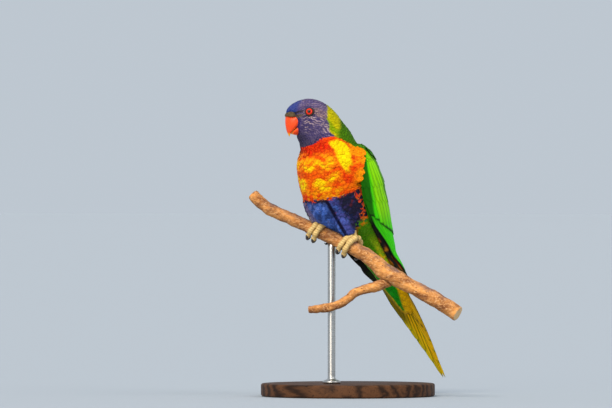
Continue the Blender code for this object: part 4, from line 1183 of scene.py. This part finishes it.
roots = scatter()
part, place, angle, ways = lookUp(roots)
degrees = np.abs(np.degrees(np.arctan2(np.sin(angle), np.cos(angle))))
room = wingRoom(place, degrees)
lobe = np.interp(degrees, [60, 71, 78, 86, 99, 107, 117], [11.1, 11.3, 11.75, 12.1, 12.72, 13.6, 14.05])
toEdge = np.where(degrees > 62, (lobe - place) * 11.2, 20)  # how far the breast still laps over the wing
hidden = np.where(np.sin(angle) > 0, 2.4, 5.0)  # the right wing hangs a little, so more shows there
lapping = (room < 9) & (toEdge > 3) & (degrees > 62) & (place > 10.8)
keep = ~((part == 0) & (room > hidden) & (place < 20.5) & ~lapping)
keep &= ~((part == 0) & (room > -2.5) & (toEdge < 3) & (place < 13.8) & (degrees > 62))
for side in (1, -1):  # bare round the eye
    centre, look = eyePlace(side)
    off = roots - centre
    out = off @ look
    aside = np.linalg.norm(off - out[:, None] * look, axis=1)
    keep &= ~((aside < 3.7) & (out > 0))
for tree in billTrees:
    for k in np.flatnonzero(keep & (place < 5)):
        spot, normal, _, distance = tree.find_nearest(roots[k])
        if distance < (0.25 if tree is billTrees[2] else 1.0) or (Vector(roots[k]) - spot).dot(normal) < 0:
            keep[k] = False
_, deep = clearOfBranch(roots, 0.6)
keep &= deep < 0
roots, part, place, angle, ways, degrees, room, toEdge = (
    values[keep] for values in (roots, part, place, angle, ways, degrees, room, toEdge)
)
print("feather roots:", len(roots))
roll = chance.random((len(roots), 4))
yaw = chance.normal(0, 0.09, len(roots))
onTrunk = part == 0
length = np.where(onTrunk, coatAt("length", place), 5.4) * (0.85 + 0.3 * roll[:, 3])
nearWing = onTrunk & (place > 10.8) & (place < 14.0) & (room > -6) & (degrees > 62)
length = np.where(nearWing, np.minimum(length * 1.15, np.maximum(toEdge, 3)), length)
halfWidth = np.where(onTrunk, coatAt("halfWidth", place), 1.35) * (0.88 + 0.24 * roll[:, 0])
rise = np.where(onTrunk, coatAt("depth", place) * (1 - 0.32 * soft(place, 9, 11)), 1.3)
rise = rise * (0.94 + 0.14 * chance.random(len(roots)))
for side in (1, -1):  # shorter in front of the eye, so that none lies over it
    centre, look = eyePlace(side)
    far = np.linalg.norm(roots - centre, axis=1)
    length *= np.where(far < 9, np.clip((far - 3.4) / 5.5, 0.28, 1), 1)
    halfWidth *= np.where(far < 7.5, 0.8, 1)
    rise *= np.where(far < 7.5, 0.6, 1)
mantleLift = soft(place, 10.4, 12.2) * (1 - soft(place, 13.2, 14.8)) * (1 - soft(degrees, 16, 34))


def dyesOn(points, chosen):  # the markings at every point of the chosen feathers
    own = np.repeat(chosen, points[0, ..., 0].size)
    spotPart, spotPlace, spotAngle, _ = lookUp(points.reshape(-1, 3))
    strange = spotPart != part[own]
    spotPlace = np.where(strange, place[own], spotPlace)
    spotAngle = np.where(strange, angle[own], spotAngle)
    found = markings(part[own], spotPlace, spotAngle, roll[own], points.reshape(-1, 3))
    return [value.reshape(*points.shape[:3], *value.shape[1:]) for value in found]


def stretch(first, last):  # the trunk's feathers between two places
    return onTrunk & (place >= first) & (place < last)


headCoat = featherMaterial("headFeather", 0.8, 0.04, 0.7, 0.02, 0.5)
bodyCoat = featherMaterial("contourFeather", 0.7, 0.05, 0.72, 0.03, 0.5)
shoulderPieces = ("coatNeck", "coatBreast", "coatBack")
coatPieces = {  # which feathers, points across each, material and slot
    "coatFace": (stretch(0, 4.2), 3, headCoat, "head_feathers"),
    "coatHead": (stretch(4.2, 7.6), 3, headCoat, "head_feathers"),
    "coatNeck": (stretch(7.6, 10.6), 5, bodyCoat, "neck_feathers"),
    "coatBreast": (stretch(10.6, 14.2) & (degrees > 60), 7, bodyCoat, "body_feathers"),
    "coatBelly": (stretch(14.2, 18.3) & (degrees > 60), 7, bodyCoat, "body_feathers"),
    "coatBack": (stretch(10.6, 18.3) & (degrees <= 60), 5, bodyCoat, "body_feathers"),
    "coatTailCoverts": (stretch(18.3, 25), 7, bodyCoat, "tail_feathers"),
    "coatThighs": (~onTrunk, 5, bodyCoat, "thigh_feathers"),
}
for name, (mask, columns, material, slotName) in coatPieces.items():
    chosen = np.flatnonzero(mask)
    swing = np.cross(ways[chosen], unit(roots[chosen] - roots[chosen].mean(0))) * yaw[chosen, None]
    sizes = [values[chosen] for values in (length, halfWidth, rise)]
    over = name in shoulderPieces
    upper, lower, vane, tGrid, sGrid = layFeathers(
        roots[chosen], unit(ways[chosen] + swing), *sizes, columns, over
    )
    if name == "coatBack":
        lift = mantleLift[chosen][:, None, None] * 2.4
        out = unit(upper - lower + 1e-9)
        upper, lower = upper + out * lift[..., None], lower + out * lift[..., None]
    if name in ("coatBelly", "coatThighs", "coatTailCoverts"):
        upper, _ = clearOfBranch(upper)
        lower, _ = clearOfBranch(lower, 0.35)
    grain = chance.random(upper.shape[:3])
    tint = patternOn(*dyesOn(upper, chosen), tGrid, sGrid, grain)
    bake = np.stack([(angle[chosen] % (2 * math.pi)) / (2 * math.pi), place[chosen] / 25], -1)
    bake = (bake - bake.min(0)) / np.ptp(bake, axis=0)
    piece = featherPiece(name, upper, lower, tint, tint * 0.75, vane, bake)
    hand(piece, material, slotName)
    print(name, len(chosen), "feathers,", len(piece.data.polygons) * 2, "triangles")

# Wings

rightDroop = np.array(
    [(0, 0, 0), (0.25, 0.8, 1), (0.4, 2.2, 3.6), (0.55, 5, 7.2)]
    + [(0.7, 9, 7.4), (0.85, 12.6, 4.6), (1, 14.5, 1.4)]
)


def wingPoint(along, across, out, side):
    along, across = np.broadcast_arrays(np.asarray(along, float), np.asarray(across, float))
    row = courseAt(wingCourse, along * (len(wingCourse) - 1))
    angle = np.radians(row[..., 1] + (row[..., 2] - row[..., 1]) * across)
    ring = courseAt(carrierRows, row[..., 0])
    point = ringPoint(ring, angle)
    ahead, behind = (ringPoint(courseAt(carrierRows, row[..., 0] + step), angle) for step in (0.05, -0.05))
    way = ahead - behind
    rounding = ringPoint(ring, angle - 0.02) - ringPoint(ring, angle + 0.02)
    point = point + unit(np.cross(way, rounding)) * np.asarray(out)[..., None]
    if side < 0:
        hold = 1.0 - 0.55 * across
        point[..., 0] += hold * np.interp(along, rightDroop[:, 0], rightDroop[:, 1])
        point[..., 2] -= hold * np.interp(along, rightDroop[:, 0], rightDroop[:, 2])
    return point * np.array([side, 1.0, 1.0])


spread = wingPoint(np.linspace(0, 1, 21)[:, None], np.linspace(0, 1, 9), np.zeros((21, 9)), 1)
wingChords = np.linalg.norm(np.diff(spread, axis=1), axis=-1).sum(1)
bedHeights = np.array([(0, 1.2), (0.08, 2.5), (0.2, 2.4), (0.3, 1.9), (0.42, 1.2), (0.65, 0.8), (0.86, 0.6)])

bedEdges = {  # the dark ground under the vanes, wider at the left wing's tip, where it shows beside the tail as dark underside and painted shade
    "reach": {1: 0.95, -1: 0.8},
    "along": (0.0, 0.46, 0.58, 0.7, 0.88, 0.95),
    "low": {1: (0.03, 0.02, -0.07, -0.12, -0.2, 0.05), -1: (0.03, 0.03, 0.03, 0.04, 0.1, 0.1)},
    "high": (0.97, 0.92, 0.8, 0.64, 0.45, 0.25),
}


def bedTop(along, across):
    high = np.interp(along, bedHeights[:, 0], bedHeights[:, 1])
    inset = np.sin(math.pi * np.clip(across, 0.03, 0.97)) ** 0.35
    return 0.5 + (high - 0.5) * inset


wingGreens = palette(
    bright="#42e400",
    lime="#a0ee00",
    deep="#1a6602",
    edge="#0c2c03",
    black="#161510",
    moss="#4a9a08",
    under="#221f18",
)
wingTiers = {  # outermost feather first: counts, places along and across, widths, heights and shape
    "primary": {
        "count": 9,
        "root": (0.32, 0.38),
        "tips": (0.988, 1.0, 0.975, 0.93, 0.88, 0.82),
        "rootAcross": (0.07, 0.54),
        "tipAcross": (0.36, 0.46, 0.54, 0.59, 0.60, 0.60),
        "width": (2.9, 3.5),
        "height": (1.25, 1.55),
        "tilt": 0.13,
        "profile": (0.8, 1.0, 1.0, 0.74, 0.5, 0.1),
    },
    "secondary": {
        "count": 11,
        "root": (0.19, 0.22),
        "tips": (0.40, 0.46, 0.505, 0.53, 0.545, 0.56, 0.58),
        "rootAcross": (0.10, 0.86),
        "tipAcross": (0.10, 0.22, 0.34, 0.47, 0.60, 0.75, 0.89),
        "width": (3.7, 4.3),
        "height": (2.1, 1.95),
        "tilt": 0.10,
        "profile": (0.8, 1.0, 1.0, 0.92, 0.72, 0.2),
    },
    "greaterCovert": {
        "count": 11,
        "root": (0.15, 0.17),
        "tips": (0.31, 0.33, 0.34, 0.35, 0.36, 0.38),
        "rootAcross": (0.11, 0.85),
        "tipAcross": (0.11, 0.27, 0.42, 0.57, 0.72, 0.87),
        "width": (3.4, 3.8),
        "height": (2.7, 2.35),
        "tilt": 0.10,
        "profile": (0.8, 1.0, 1.0, 0.9, 0.7, 0.2),
    },
    "medianCovert": {
        "count": 12,
        "root": (0.10, 0.12),
        "tips": (0.235, 0.245, 0.25, 0.255, 0.265, 0.28),
        "rootAcross": (0.06, 0.92),
        "tipAcross": (0.06, 0.24, 0.42, 0.58, 0.74, 0.92),
        "width": (3.0, 3.2),
        "height": (3.1, 2.85),
        "tilt": 0.09,
        "profile": (0.75, 1.0, 1.0, 0.9, 0.7, 0.25),
    },
    "scapular": {
        "count": 7,
        "root": (0.07, 0.09),
        "tips": (0.25, 0.29, 0.33, 0.37, 0.41, 0.46),
        "rootAcross": (0.66, 0.99),
        "tipAcross": (0.68, 0.76, 0.83, 0.89, 0.94, 0.98),
        "width": (3.4, 3.6),
        "height": (1.9, 3.5),
        "tilt": 0.07,
        "profile": (0.7, 1.0, 1.0, 0.9, 0.7, 0.25),
    },
}
profilePlaces = (0.0, 0.2, 0.72, 0.9, 0.965, 1.0)


def between(ends, share):
    return ends[0] + (ends[1] - ends[0]) * share


def tierFeathers(tier, side):
    rows, columns = 15, 9
    share = np.linspace(0, 1, tier["count"])
    knots = np.linspace(0, 1, len(tier["tips"]))
    shake = chance.normal(0, 1, (tier["count"], 4))
    root = between(tier["root"], share)
    tip = np.interp(share, knots, tier["tips"]) + shake[:, 0] * 0.002
    rootAcross = between(tier["rootAcross"], share)
    tipAcross = np.interp(share, knots, tier["tipAcross"]) + shake[:, 1] * 0.004
    width = between(tier["width"], share)
    t = np.linspace(0, 1, rows) ** 0.8
    tGrid, sGrid = np.meshgrid(t, np.linspace(-1, 1, columns), indexing="ij")
    wide = np.interp(tGrid, profilePlaces, tier["profile"])[None] * width[:, None, None] * sGrid
    along = root[:, None, None] + (tip - root)[:, None, None] * (tGrid - 0.02 * sGrid**2 * tGrid**3)
    chord = np.interp(along, np.linspace(0, 1, 21), wingChords)
    across = rootAcross[:, None, None] + (tipAcross - rootAcross)[:, None, None] * tGrid + wide / chord
    up = between(tier["height"], tGrid) - tier["tilt"] * wide
    up = up + 0.32 * (1 - sGrid**2) + 0.12 * np.exp(-((sGrid / 0.12) ** 2))
    tucked = (1 - soft(across, -0.07, 0.14)) * (1 - soft(along, 0.3, 0.42))  # in at the front
    up = up * (1 - 0.45 * tucked)
    upper = wingPoint(along, across, up, side)
    lower = wingPoint(along, across, up - 0.34 * (1 - 0.4 * tGrid), side)
    span = np.linalg.norm(upper[:, -1, columns // 2] - upper[:, 0, columns // 2], axis=-1)
    vane = np.stack([wide, tGrid * span[:, None, None], ownNumber(wide.shape)], -1)
    return upper, lower, vane, tGrid, sGrid, along, across


seam = {  # the dark line between the bright webs and the shoulder's green
    "along": (0.05, 0.13, 0.27, 0.34, 0.43, 0.51, 0.6, 0.75, 0.9),
    "across": (0.37, 0.5, 0.475, 0.52, 0.6, 0.59, 0.6, 0.48, 0.42),
}


def wingTint(kind, tGrid, sGrid, along, across, roll):
    # bright outer webs, darker inner webs and edges, and painted shade as a deep green band along the front
    # edge
    base = np.broadcast_to(wingGreens["bright"], (*along.shape, 3))
    limeShare = (1 - soft(along, 0.34, 0.52)) * soft(across, 0.14, 0.24)
    base = mixed(base, wingGreens["lime"], limeShare * 0.85)
    # painted shade: the front edge of the folded wing, turned away from the light, in deep green
    frontShade = np.interp(along, (0.0, 0.1, 0.22, 0.31, 0.38, 0.42), (0.2, 0.16, 0.15, 0.145, 0.11, 0.0))
    base = mixed(base, wingGreens["deep"], (1 - soft(across, frontShade - 0.02, frontShade + 0.02)) * (along < 0.43))
    seamAt = np.interp(along, seam["along"], seam["across"])
    base = mixed(base, wingGreens["moss"], soft(across, seamAt, seamAt + 0.04) * 0.85)
    line = np.exp(-(((across - seamAt) / 0.018) ** 2)) * soft(along, 0.03, 0.08)
    line = line * (1 - soft(along, 0.56, 0.62))
    base = mixed(base, wingGreens["black"], line * 0.95)
    # dark tips: feather edge and painted shadow of the step where each tier ends
    tipEdgeAndShadow = {"secondary": 1.5, "primary": 0.7}.get(kind, 0.0)
    rim = soft(sGrid, 0.75, 1.0) * 0.5 + soft(tGrid, 0.9, 0.96) * tipEdgeAndShadow + soft(-sGrid, 0.88, 1.0) * 0.3
    base = mixed(base, wingGreens["edge"], np.clip(rim, 0, 0.9))
    if kind == "primary":
        # painted shade: black along the wing's lower edge near the tip, going on from the deep green band;
        # the inner webs are black of their own
        outer = np.interp(along, (0.43, 0.5, 0.6, 0.7, 0.8, 0.92), (0.07, 0.07, 0.125, 0.13, 0.16, 0.3))
        base = mixed(base, wingGreens["black"], soft(sGrid, 0.3, 0.55) * 0.9)
        base = mixed(base, wingGreens["black"], (1 - soft(across, outer - 0.015, outer + 0.015)) * 0.95)
    if kind == "scapular":  # runs into the mantle
        base = dyed(base, "mantle", 0.75 * (1 - soft(along, 0.3, 0.5)))
    ribLine = np.exp(-((sGrid / 0.09) ** 2)) * 0.5
    base = mixed(base, wingGreens["black" if kind == "primary" else "deep"], ribLine)
    return base * (0.9 + 0.2 * roll)[:, None, None, None]


def smallCoverts(side):  # rows of little feathers over the bend of the wing
    rowPlaces = [-0.03, -0.01, 0.01, 0.03, 0.052, 0.075, 0.1, 0.125]
    along0, across0, row = [], [], []
    for k, at in enumerate(rowPlaces):
        count = 15
        across0 += list((np.arange(count) + (0.5 if k % 2 else 0.0)) / (count - 0.5))
        along0 += [at] * count
        row += [k] * count
    lap = np.interp(across0, [0, 0.05, 0.15, 0.3, 0.36], [0.2, 0.137, 0.083, 0.03, -1])
    lapped = np.array(along0) + 0.092 < lap  # the breast covers these
    along0, across0, row = (np.array(values)[~lapped] for values in (along0, across0, row))
    along0 = along0 + chance.normal(0, 0.003, len(along0))
    across0 = across0 + chance.normal(0, 0.008, len(across0))
    tGrid, sGrid = np.meshgrid([0, 0.25, 0.5, 0.75, 0.92, 1.0], np.linspace(-1, 1, 7), indexing="ij")
    reach = 0.062 + 0.03 * row / len(rowPlaces)
    profile = np.interp(tGrid, (0, 0.3, 0.7, 0.9, 1), (0.6, 0.95, 1, 0.8, 0.35))
    wide = profile[None] * sGrid * (2.2 + 0.06 * row)[:, None, None]
    along = along0[:, None, None] + reach[:, None, None] * (tGrid - 0.10 * sGrid**2 * tGrid**2)
    chord = np.interp(along, np.linspace(0, 1, 21), wingChords)
    across = across0[:, None, None] + wide / chord
    lift = 0.15 + 0.6 * tGrid - 0.07 * wide + 0.15 * (1 - sGrid**2)
    safe = np.clip(along, 0, 1)
    up = bedTop(safe, across0[:, None, None]) + lift
    up = np.where(along < 0, up + along * 30, up)
    upper = wingPoint(safe, across, up, side)
    lower = wingPoint(safe, across, up - 0.2, side)
    vane = np.stack([wide, np.broadcast_to(tGrid * 9.0, wide.shape), ownNumber(wide.shape)], -1)
    return upper, lower, vane, tGrid, sGrid, safe, across


flightFeather = featherMaterial("flightFeather", 0.75, 0.05, 0.55, 0.0, 0.18)
for side, nodeName, name in ((1, "wing_left", "Left"), (-1, "wing_right", "Right")):
    far = bedEdges["reach"][side]
    along, share = np.meshgrid(np.linspace(0, far, 76), np.linspace(0, 1.0, 30), indexing="ij")
    low = np.interp(along, bedEdges["along"], bedEdges["low"][side])
    high = np.interp(along, bedEdges["along"], bedEdges["high"])
    across = low + share * (high - low)
    bedTable = wingPoint(along, across, bedTop(along, across) - 0.25, side)
    bed = gridPiece(f"wingBed{name}", bedTable)
    applied(bed, "SOLIDIFY", thickness=0.0005, offset=0.0)
    nearest = nearestOf(bedTable.reshape(-1, 3))(pointsOf(bed))
    bedAlong, bedShare = along.ravel()[nearest], share.ravel()[nearest]
    ragged = soft(softNoise(bedAlong * 30, bedShare * 8, 5), 0.45, 0.75) * soft(bedAlong, 0.5, 0.6)
    bedTint = mixed(wingGreens["deep"][None], wingGreens["black"], soft(bedAlong, 0.38, 0.46))
    brown = mixed(dyes["rust"], dyes["amber"], ragged * (1 - soft(bedShare, 0.1, 0.4)))
    bedTint = mixed(bedTint, brown, ragged * (0.5 if side > 0 else 0))
    addTint(bed, dyed(bedTint, "umber", soft(bedAlong, 0.76, 0.9) * 0.8))
    addVector(bed, "vane", pointsOf(bed))
    hand(bed, flightFeather, "wing_feathers")
    parts = []
    for kind, tier in wingTiers.items():
        upper, lower, vane, tGrid, sGrid, along, across = tierFeathers(tier, side)
        tint = wingTint(kind, tGrid, sGrid, along, across, chance.random(len(upper)))
        if side < 0 and kind == "primary":  # all that shows of the far wing's tip is its dark side
            tint = mixed(tint, wingGreens["under"], 0.9 * (1 - soft(across, 0.5, 0.7)))
        under = mixed(tint, wingGreens["under"], 0.7)
        bake = np.stack([across[:, 0, 4], along[:, 0, 4]], -1)
        parts.append(featherPiece(f"{kind}{name}", upper, lower, tint, under, vane, bake))
    upper, lower, vane, tGrid, sGrid, along, across = smallCoverts(side)
    tint = wingTint("small", tGrid, sGrid, along, across, chance.random(len(upper)))
    bake = np.stack([across[:, 0, 3], along[:, 0, 3] * 2], -1)
    parts.append(featherPiece(f"smallCovert{name}", upper, lower, tint, tint * 0.5, vane, bake))
    wing = joined(f"wingFeathers{name}", parts)
    hand(wing, flightFeather, "wing_feathers", nodeName)
    print("wing", name, len(wing.data.polygons) * 2, "triangles")

# Tail

tailGreens = palette(
    top="#2a8606",
    topEdge="#0f3403",
    olive="#cfa60e",
    oliveDark="#3a3204",
    shaft="#1e1806",
)
# length, how far aside the tip lies and half width, from the middle pair outwards
tailFeathers = [
    (123.5, 1.0, 4.3),
    (108.5, 2.8, 4.6),
    (96.5, 4.5, 4.8),
    (85, 6.0, 4.7),
    (74, 7.3, 4.5),
    (63, 8.6, 4.3),
]


def tailPoint(along, side, up):
    inPlane = tailRoot + along[..., None] * tailWay + up[..., None] * tailUp
    return np.concatenate([side[..., None], inPlane], -1)


def tailTables():
    rows, columns = 22, 9
    tGrid, sGrid = np.meshgrid(np.linspace(0, 1, rows), np.linspace(-1, 1, columns), indexing="ij")
    uppers, lowers, vanes = [], [], []
    level = 2.1
    profile = np.interp(tGrid, (0, 0.34, 0.66, 0.9, 0.97, 1), (0.85, 1, 0.9, 0.5, 0.3, 0.06))
    rib = np.exp(-((sGrid / 0.12) ** 2))
    for k, (length, aside, width) in enumerate(tailFeathers):
        for side in (1, -1):
            rootAside, tipAside = side * (0.9 + 1.15 * k), side * aside
            bow = 1 - (1 - tGrid) ** 1.6
            offset = width * profile * sGrid
            way = rootAside + (tipAside - rootAside) * bow
            along = 8 + (length - 8) * (tGrid - 0.012 * sGrid**2 * tGrid**2)
            drift = 1.4 * np.sin(math.pi * np.minimum(along / 110, 1))
            up = level * (1 - 0.65 * tGrid) - 0.012 * (way + offset) ** 2
            up = up + 0.18 * (1 - sGrid**2) + 0.14 * rib
            uppers.append(tailPoint(along, way + offset + drift, up))
            lowers.append(tailPoint(along, way + offset + drift, up - 0.4 * (1 - 0.5 * tGrid) - 0.1 * rib))
            vanes.append(np.stack([offset, along, np.full(tGrid.shape, chance.random())], -1))
            level -= 0.36
    return np.array(uppers), np.array(lowers), np.array(vanes), tGrid, sGrid


upper, lower, vane, tGrid, sGrid = tailTables()
along = vane[..., 1]
top = np.broadcast_to(tailGreens["top"], upper.shape)
top = mixed(top, tailGreens["topEdge"], soft(np.abs(sGrid), 0.7, 1) * 0.8)
top = mixed(top, tailGreens["olive"], soft(along, 85, 118) * 0.45)
top = mixed(top, tailGreens["shaft"], np.exp(-((sGrid / 0.1) ** 2)) * 0.7)
below = underTail(along, upper[..., 0])
rims = soft(sGrid, 0.8, 0.95) * 0.95 + soft(-sGrid, 0.88, 1) * 0.5
below = mixed(below, tailGreens["oliveDark"], rims)
below = mixed(below, tailGreens["shaft"], np.exp(-((sGrid / 0.08) ** 2)) * 0.3)
shakeOf = (0.85 + 0.3 * chance.random(len(upper)))[:, None, None, None]
bake = np.stack([np.linspace(0.1, 0.9, len(upper)), np.full(len(upper), 0.5)], -1)
tail = featherPiece("tailFeathers", upper, lower, top * shakeOf, below * shakeOf, vane, bake)
hand(tail, flightFeather, "tail_feathers", "tail")
print("tail made")

# Feet: scaly toes round the branch, claws and shank

footPlaces = {1: 18.0, -1: -10.2}
toeRadius = 2.15
toes = [  # place of root and tip along the branch, front or back, degrees round it, size
    (-2.0, -6.4, -1, 132.0, 0.96),
    (2.0, -1.2, -1, 146.0, 1.0),
    (-2.0, 0.4, 1, 98.0, 0.9),
    (2.0, 5.8, 1, 128.0, 0.98),
]
plateStep = 1.5


def overAndRound(angle, way):
    return np.cos(angle)[..., None] * overBranch + way * np.sin(angle)[..., None] * backOfBranch


def toeTable(side, root, tip, way, sweep, size):
    share = np.linspace(0, 1, 66)
    _, radius = branchPlace(np.array(footPlaces[side]))
    angle = np.radians(14 + (sweep - 14) * share)
    thick = size * toeRadius * (1.14 - 0.2 * share + 0.09 * np.cos(share * 6 * math.pi))
    spot, _ = branchPlace(footPlaces[side] + root + (tip - root) * share)
    path = spot + (radius + 0.4 + thick)[:, None] * overAndRound(angle, way)
    scutes = 0.07 * (np.abs(np.sin(share * 9.5 * math.pi)) ** 0.5 - 0.5)
    columns = 19
    overTop = 0.6 + 0.4 * np.cos(np.linspace(0, 2 * math.pi, columns))
    radii = thick[:, None] * (1 + scutes[:, None] * overTop[None])
    radii[0] *= 0.7
    radii[-1] *= 0.55
    return tubeTable(path, radii, columns)


def clawTable(side, tip, way, sweep):
    share = np.linspace(0, 1, 22)
    _, radius = branchPlace(np.array(footPlaces[side]))
    spot, _ = branchPlace(np.array(footPlaces[side] + tip))
    angle = np.radians(sweep - 8 + 54.0 * share)
    thick = 1.3 * (1 - share) ** 0.8 + 0.12
    lift = (1.2 + 2.3 * np.sin(math.pi * share**0.8)) * (1 - 0.4 * share)
    path = spot + (radius + 0.45 + thick + lift)[:, None] * overAndRound(angle, way)
    return tubeTable(path, thick, 13)


footSkin = skinOfScales("footScales", "#f0d690", "#c0924a", 0.62, 0.62, plates=True)
claw = clawMaterial()
for side, nodeName, name in ((1, "foot_left", "Left"), (-1, "foot_right", "Right")):
    parts, claws = [], []
    for k, (root, tip, way, sweep, size) in enumerate(toes):
        if side < 0:
            sweep += 4.0 if k in (0, 2) else -6.0
        parts.append(gridPiece(f"toe{k}", toeTable(side, root, tip, way, sweep, size)))
        claws.append(gridPiece(f"claw{k}", clawTable(side, tip, way, sweep)))
    centre, radius = branchPlace(np.array(footPlaces[side]))
    low = centre + overBranch * (radius + 2.9)
    high = shankTop[side]
    share = np.linspace(0, 1, 30)
    line = low + (high - low) * share[:, None]
    rings = 2.25 * (1 - 0.1 * np.sin(math.pi * share)) * (1 + 0.05 * np.abs(np.sin(share * 7 * math.pi)))
    parts.append(gridPiece("shank", tubeTable(line, rings, 21)))
    ankleLine = low - overBranch * 2.2 + overBranch * np.linspace(0, 4.2, 12)[:, None]
    ankleRings = 3.3 * np.sin(np.linspace(0.5, math.pi - 0.5, 12))
    parts.append(gridPiece("ankle", tubeTable(ankleLine, ankleRings, 25)))
    toesPiece = joined(f"toes{name}", parts)
    p = pointsOf(toesPiece)
    off = p - branchPlace(np.clip(p @ alongBranch, *branchEnds))[0]
    outwards = np.sum(unit(off) * normalsOf(toesPiece), -1)
    arc = np.arctan2(off @ backOfBranch, off @ overBranch) * 8.2 / plateStep
    addVector(toesPiece, "plate", np.stack([arc, soft(outwards, 0.35, 0.75), 0 * arc], -1))
    hand(toesPiece, footSkin, "foot_skin", nodeName)
    hand(joined(f"claws{name}", claws), claw, "foot_skin")
print("feet made")

# Perch

bark = barkMaterial()
relief = []
for name, size, depth, strength in (("barkLumps", 0.009, 3, 0.0016), ("barkCreases", 0.0022, 2, 0.0005)):
    lumps = bpy.data.textures.new(name, "CLOUDS")
    lumps.noise_scale = size
    lumps.noise_depth = depth
    relief.append((lumps, strength))
for nodeName, name in (("perch_branch", "branchBark"), ("perch_twig", "twigBark")):
    piece = copyOfNode(nodeName, name)
    applied(piece, "REMESH", mode="VOXEL", voxel_size=0.0006, use_smooth_shade=True)
    applied(piece, "SMOOTH", factor=0.5, iterations=10)
    for lumps, strength in relief:
        applied(piece, "DISPLACE", texture=lumps, strength=strength, mid_level=0.5)
    p = pointsOf(piece)
    normals = normalsOf(piece)
    if nodeName == "perch_branch":
        centres = p @ alongBranch
        first, last = branchPlace(branchEnds)[0] @ alongBranch
        ends = np.minimum(np.abs(centres - first), np.abs(centres - last))
        cut = (1 - soft(ends, 0.5, 0.9)) * soft(np.abs(normals @ alongBranch), 0.6, 0.9)
        axis, _ = branchPlace(np.clip(centres, *branchEnds))
    else:
        stub = np.array([-8.0, -18.6, -56.0])
        wayOut = unit(stub - np.array([9.6, -8.2, -53.4]))
        cut = soft((p - stub) @ wayOut, -1.0, -0.5) * soft(normals @ wayOut, 0.6, 0.9)
        axis = stub[None]
    addNumber(piece, "cut", cut)
    addNumber(piece, "pith", np.linalg.norm(p - axis, axis=1))
    hand(piece, bark, "bark", nodeName)
print("perch made")

# Stand

stand = {"radius": 0.068, "thickness": 0.010, "bevel": 0.0016}
selectOnly(None)
bpy.ops.mesh.primitive_cylinder_add(
    vertices=180, radius=stand["radius"], depth=stand["thickness"], location=(0, 0, stand["thickness"] / 2)
)
base = bpy.context.object
base.name = base.data.name = "standBoard"
bpy.ops.object.transform_apply(location=True, rotation=True, scale=True)
applied(base, "BEVEL", width=stand["bevel"], segments=5, limit_method="ANGLE", angle_limit=math.radians(40))
selectOnly(base)
bpy.ops.object.shade_smooth_by_angle(angle=math.radians(35))
hand(base, woodMaterial(), "dark_wood", "stand_base")
floorUnder = 10.32 - 124.0
profile = [(0, 0.01), (0, 6.6), (0.3, 7.0), (1.4, 7.0), (1.9, 6.7), (2.6, 5.4), (3.3, 3.5), (4.2, 3.0)]
heights = [floorUnder + row[0] for row in profile] + list(np.linspace(floorUnder + 6, -4.6, 30))
widths = [row[1] for row in profile] + [3.0] * 30
line = [(0, 0, z + 0.001 * k) for k, z in enumerate(heights)]  # no two rings at one height
rod = gridPiece("standRod", tubeTable(line, np.array(widths), 49))
hand(rod, steelMaterial(), "steel", "stand_rod")
print("stand made")

# Floor, light and camera

paint, _ = newMaterial("paintedFloor", Base_Color=colour("#aeb7c1"), Roughness=0.9, Specular_IOR_Level=0.1)
selectOnly(None)
bpy.ops.mesh.primitive_plane_add(size=160, location=(0, 0, -0.0002))
floor = bpy.context.object
floor.name = "floor"
floor.data.materials.append(paint)
floor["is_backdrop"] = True

world = bpy.data.worlds.new("studio")
bpy.context.scene.world = world
world.use_nodes = True
backdrop = world.node_tree.nodes["Background"]
backdrop.inputs["Color"].default_value = colour("#ccd6e0")
backdrop.inputs["Strength"].default_value = 0.85


def addSun(name, azimuth, elevation, strength, spread, tint):  # large soft lamps, far away
    a, e = math.radians(azimuth), math.radians(elevation)
    way = Vector((math.sin(a) * math.cos(e), -math.cos(a) * math.cos(e), math.sin(e)))
    lamp = bpy.data.lights.new(name, "SUN")
    lamp.energy = strength
    lamp.angle = math.radians(spread)
    lamp.color = toLinear(tint)
    obj = bpy.data.objects.new(name, lamp)
    bpy.context.scene.collection.objects.link(obj)
    obj.rotation_euler = (-way).to_track_quat("-Z", "Y").to_euler()


addSun("keyLamp", 18, 48, 2.1, 24, "#fff4e4")
addSun("sideLamp", 95, 35, 0.75, 40, "#fffaf2")
addSun("lowLamp", 14, 4, 1.7, 40, "#fff2e0")

view = {"azimuth": 40.0, "distance": 5.3, "lens": 400.0, "aside": -19.9, "above": 26.1}
a = math.radians(view["azimuth"])
right = np.array([math.cos(a), math.sin(a), 0.0])
back = np.array([math.sin(a), -math.cos(a), 0.0])
target = toMetres(right * view["aside"] + np.array([0, 0, view["above"]]))
cameraData = bpy.data.cameras.new("camera")
cameraData.lens = view["lens"]
cameraData.sensor_width = 36
cameraData.clip_end = 200
camera = bpy.data.objects.new("camera", cameraData)
bpy.context.scene.collection.objects.link(camera)
camera.location = target + back * view["distance"]
camera.rotation_euler = Vector(-back).to_track_quat("-Z", "Y").to_euler()
bpy.context.scene.camera = camera
bpy.context.scene.view_settings.view_transform = "Standard"

low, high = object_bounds()
print("scene ready")
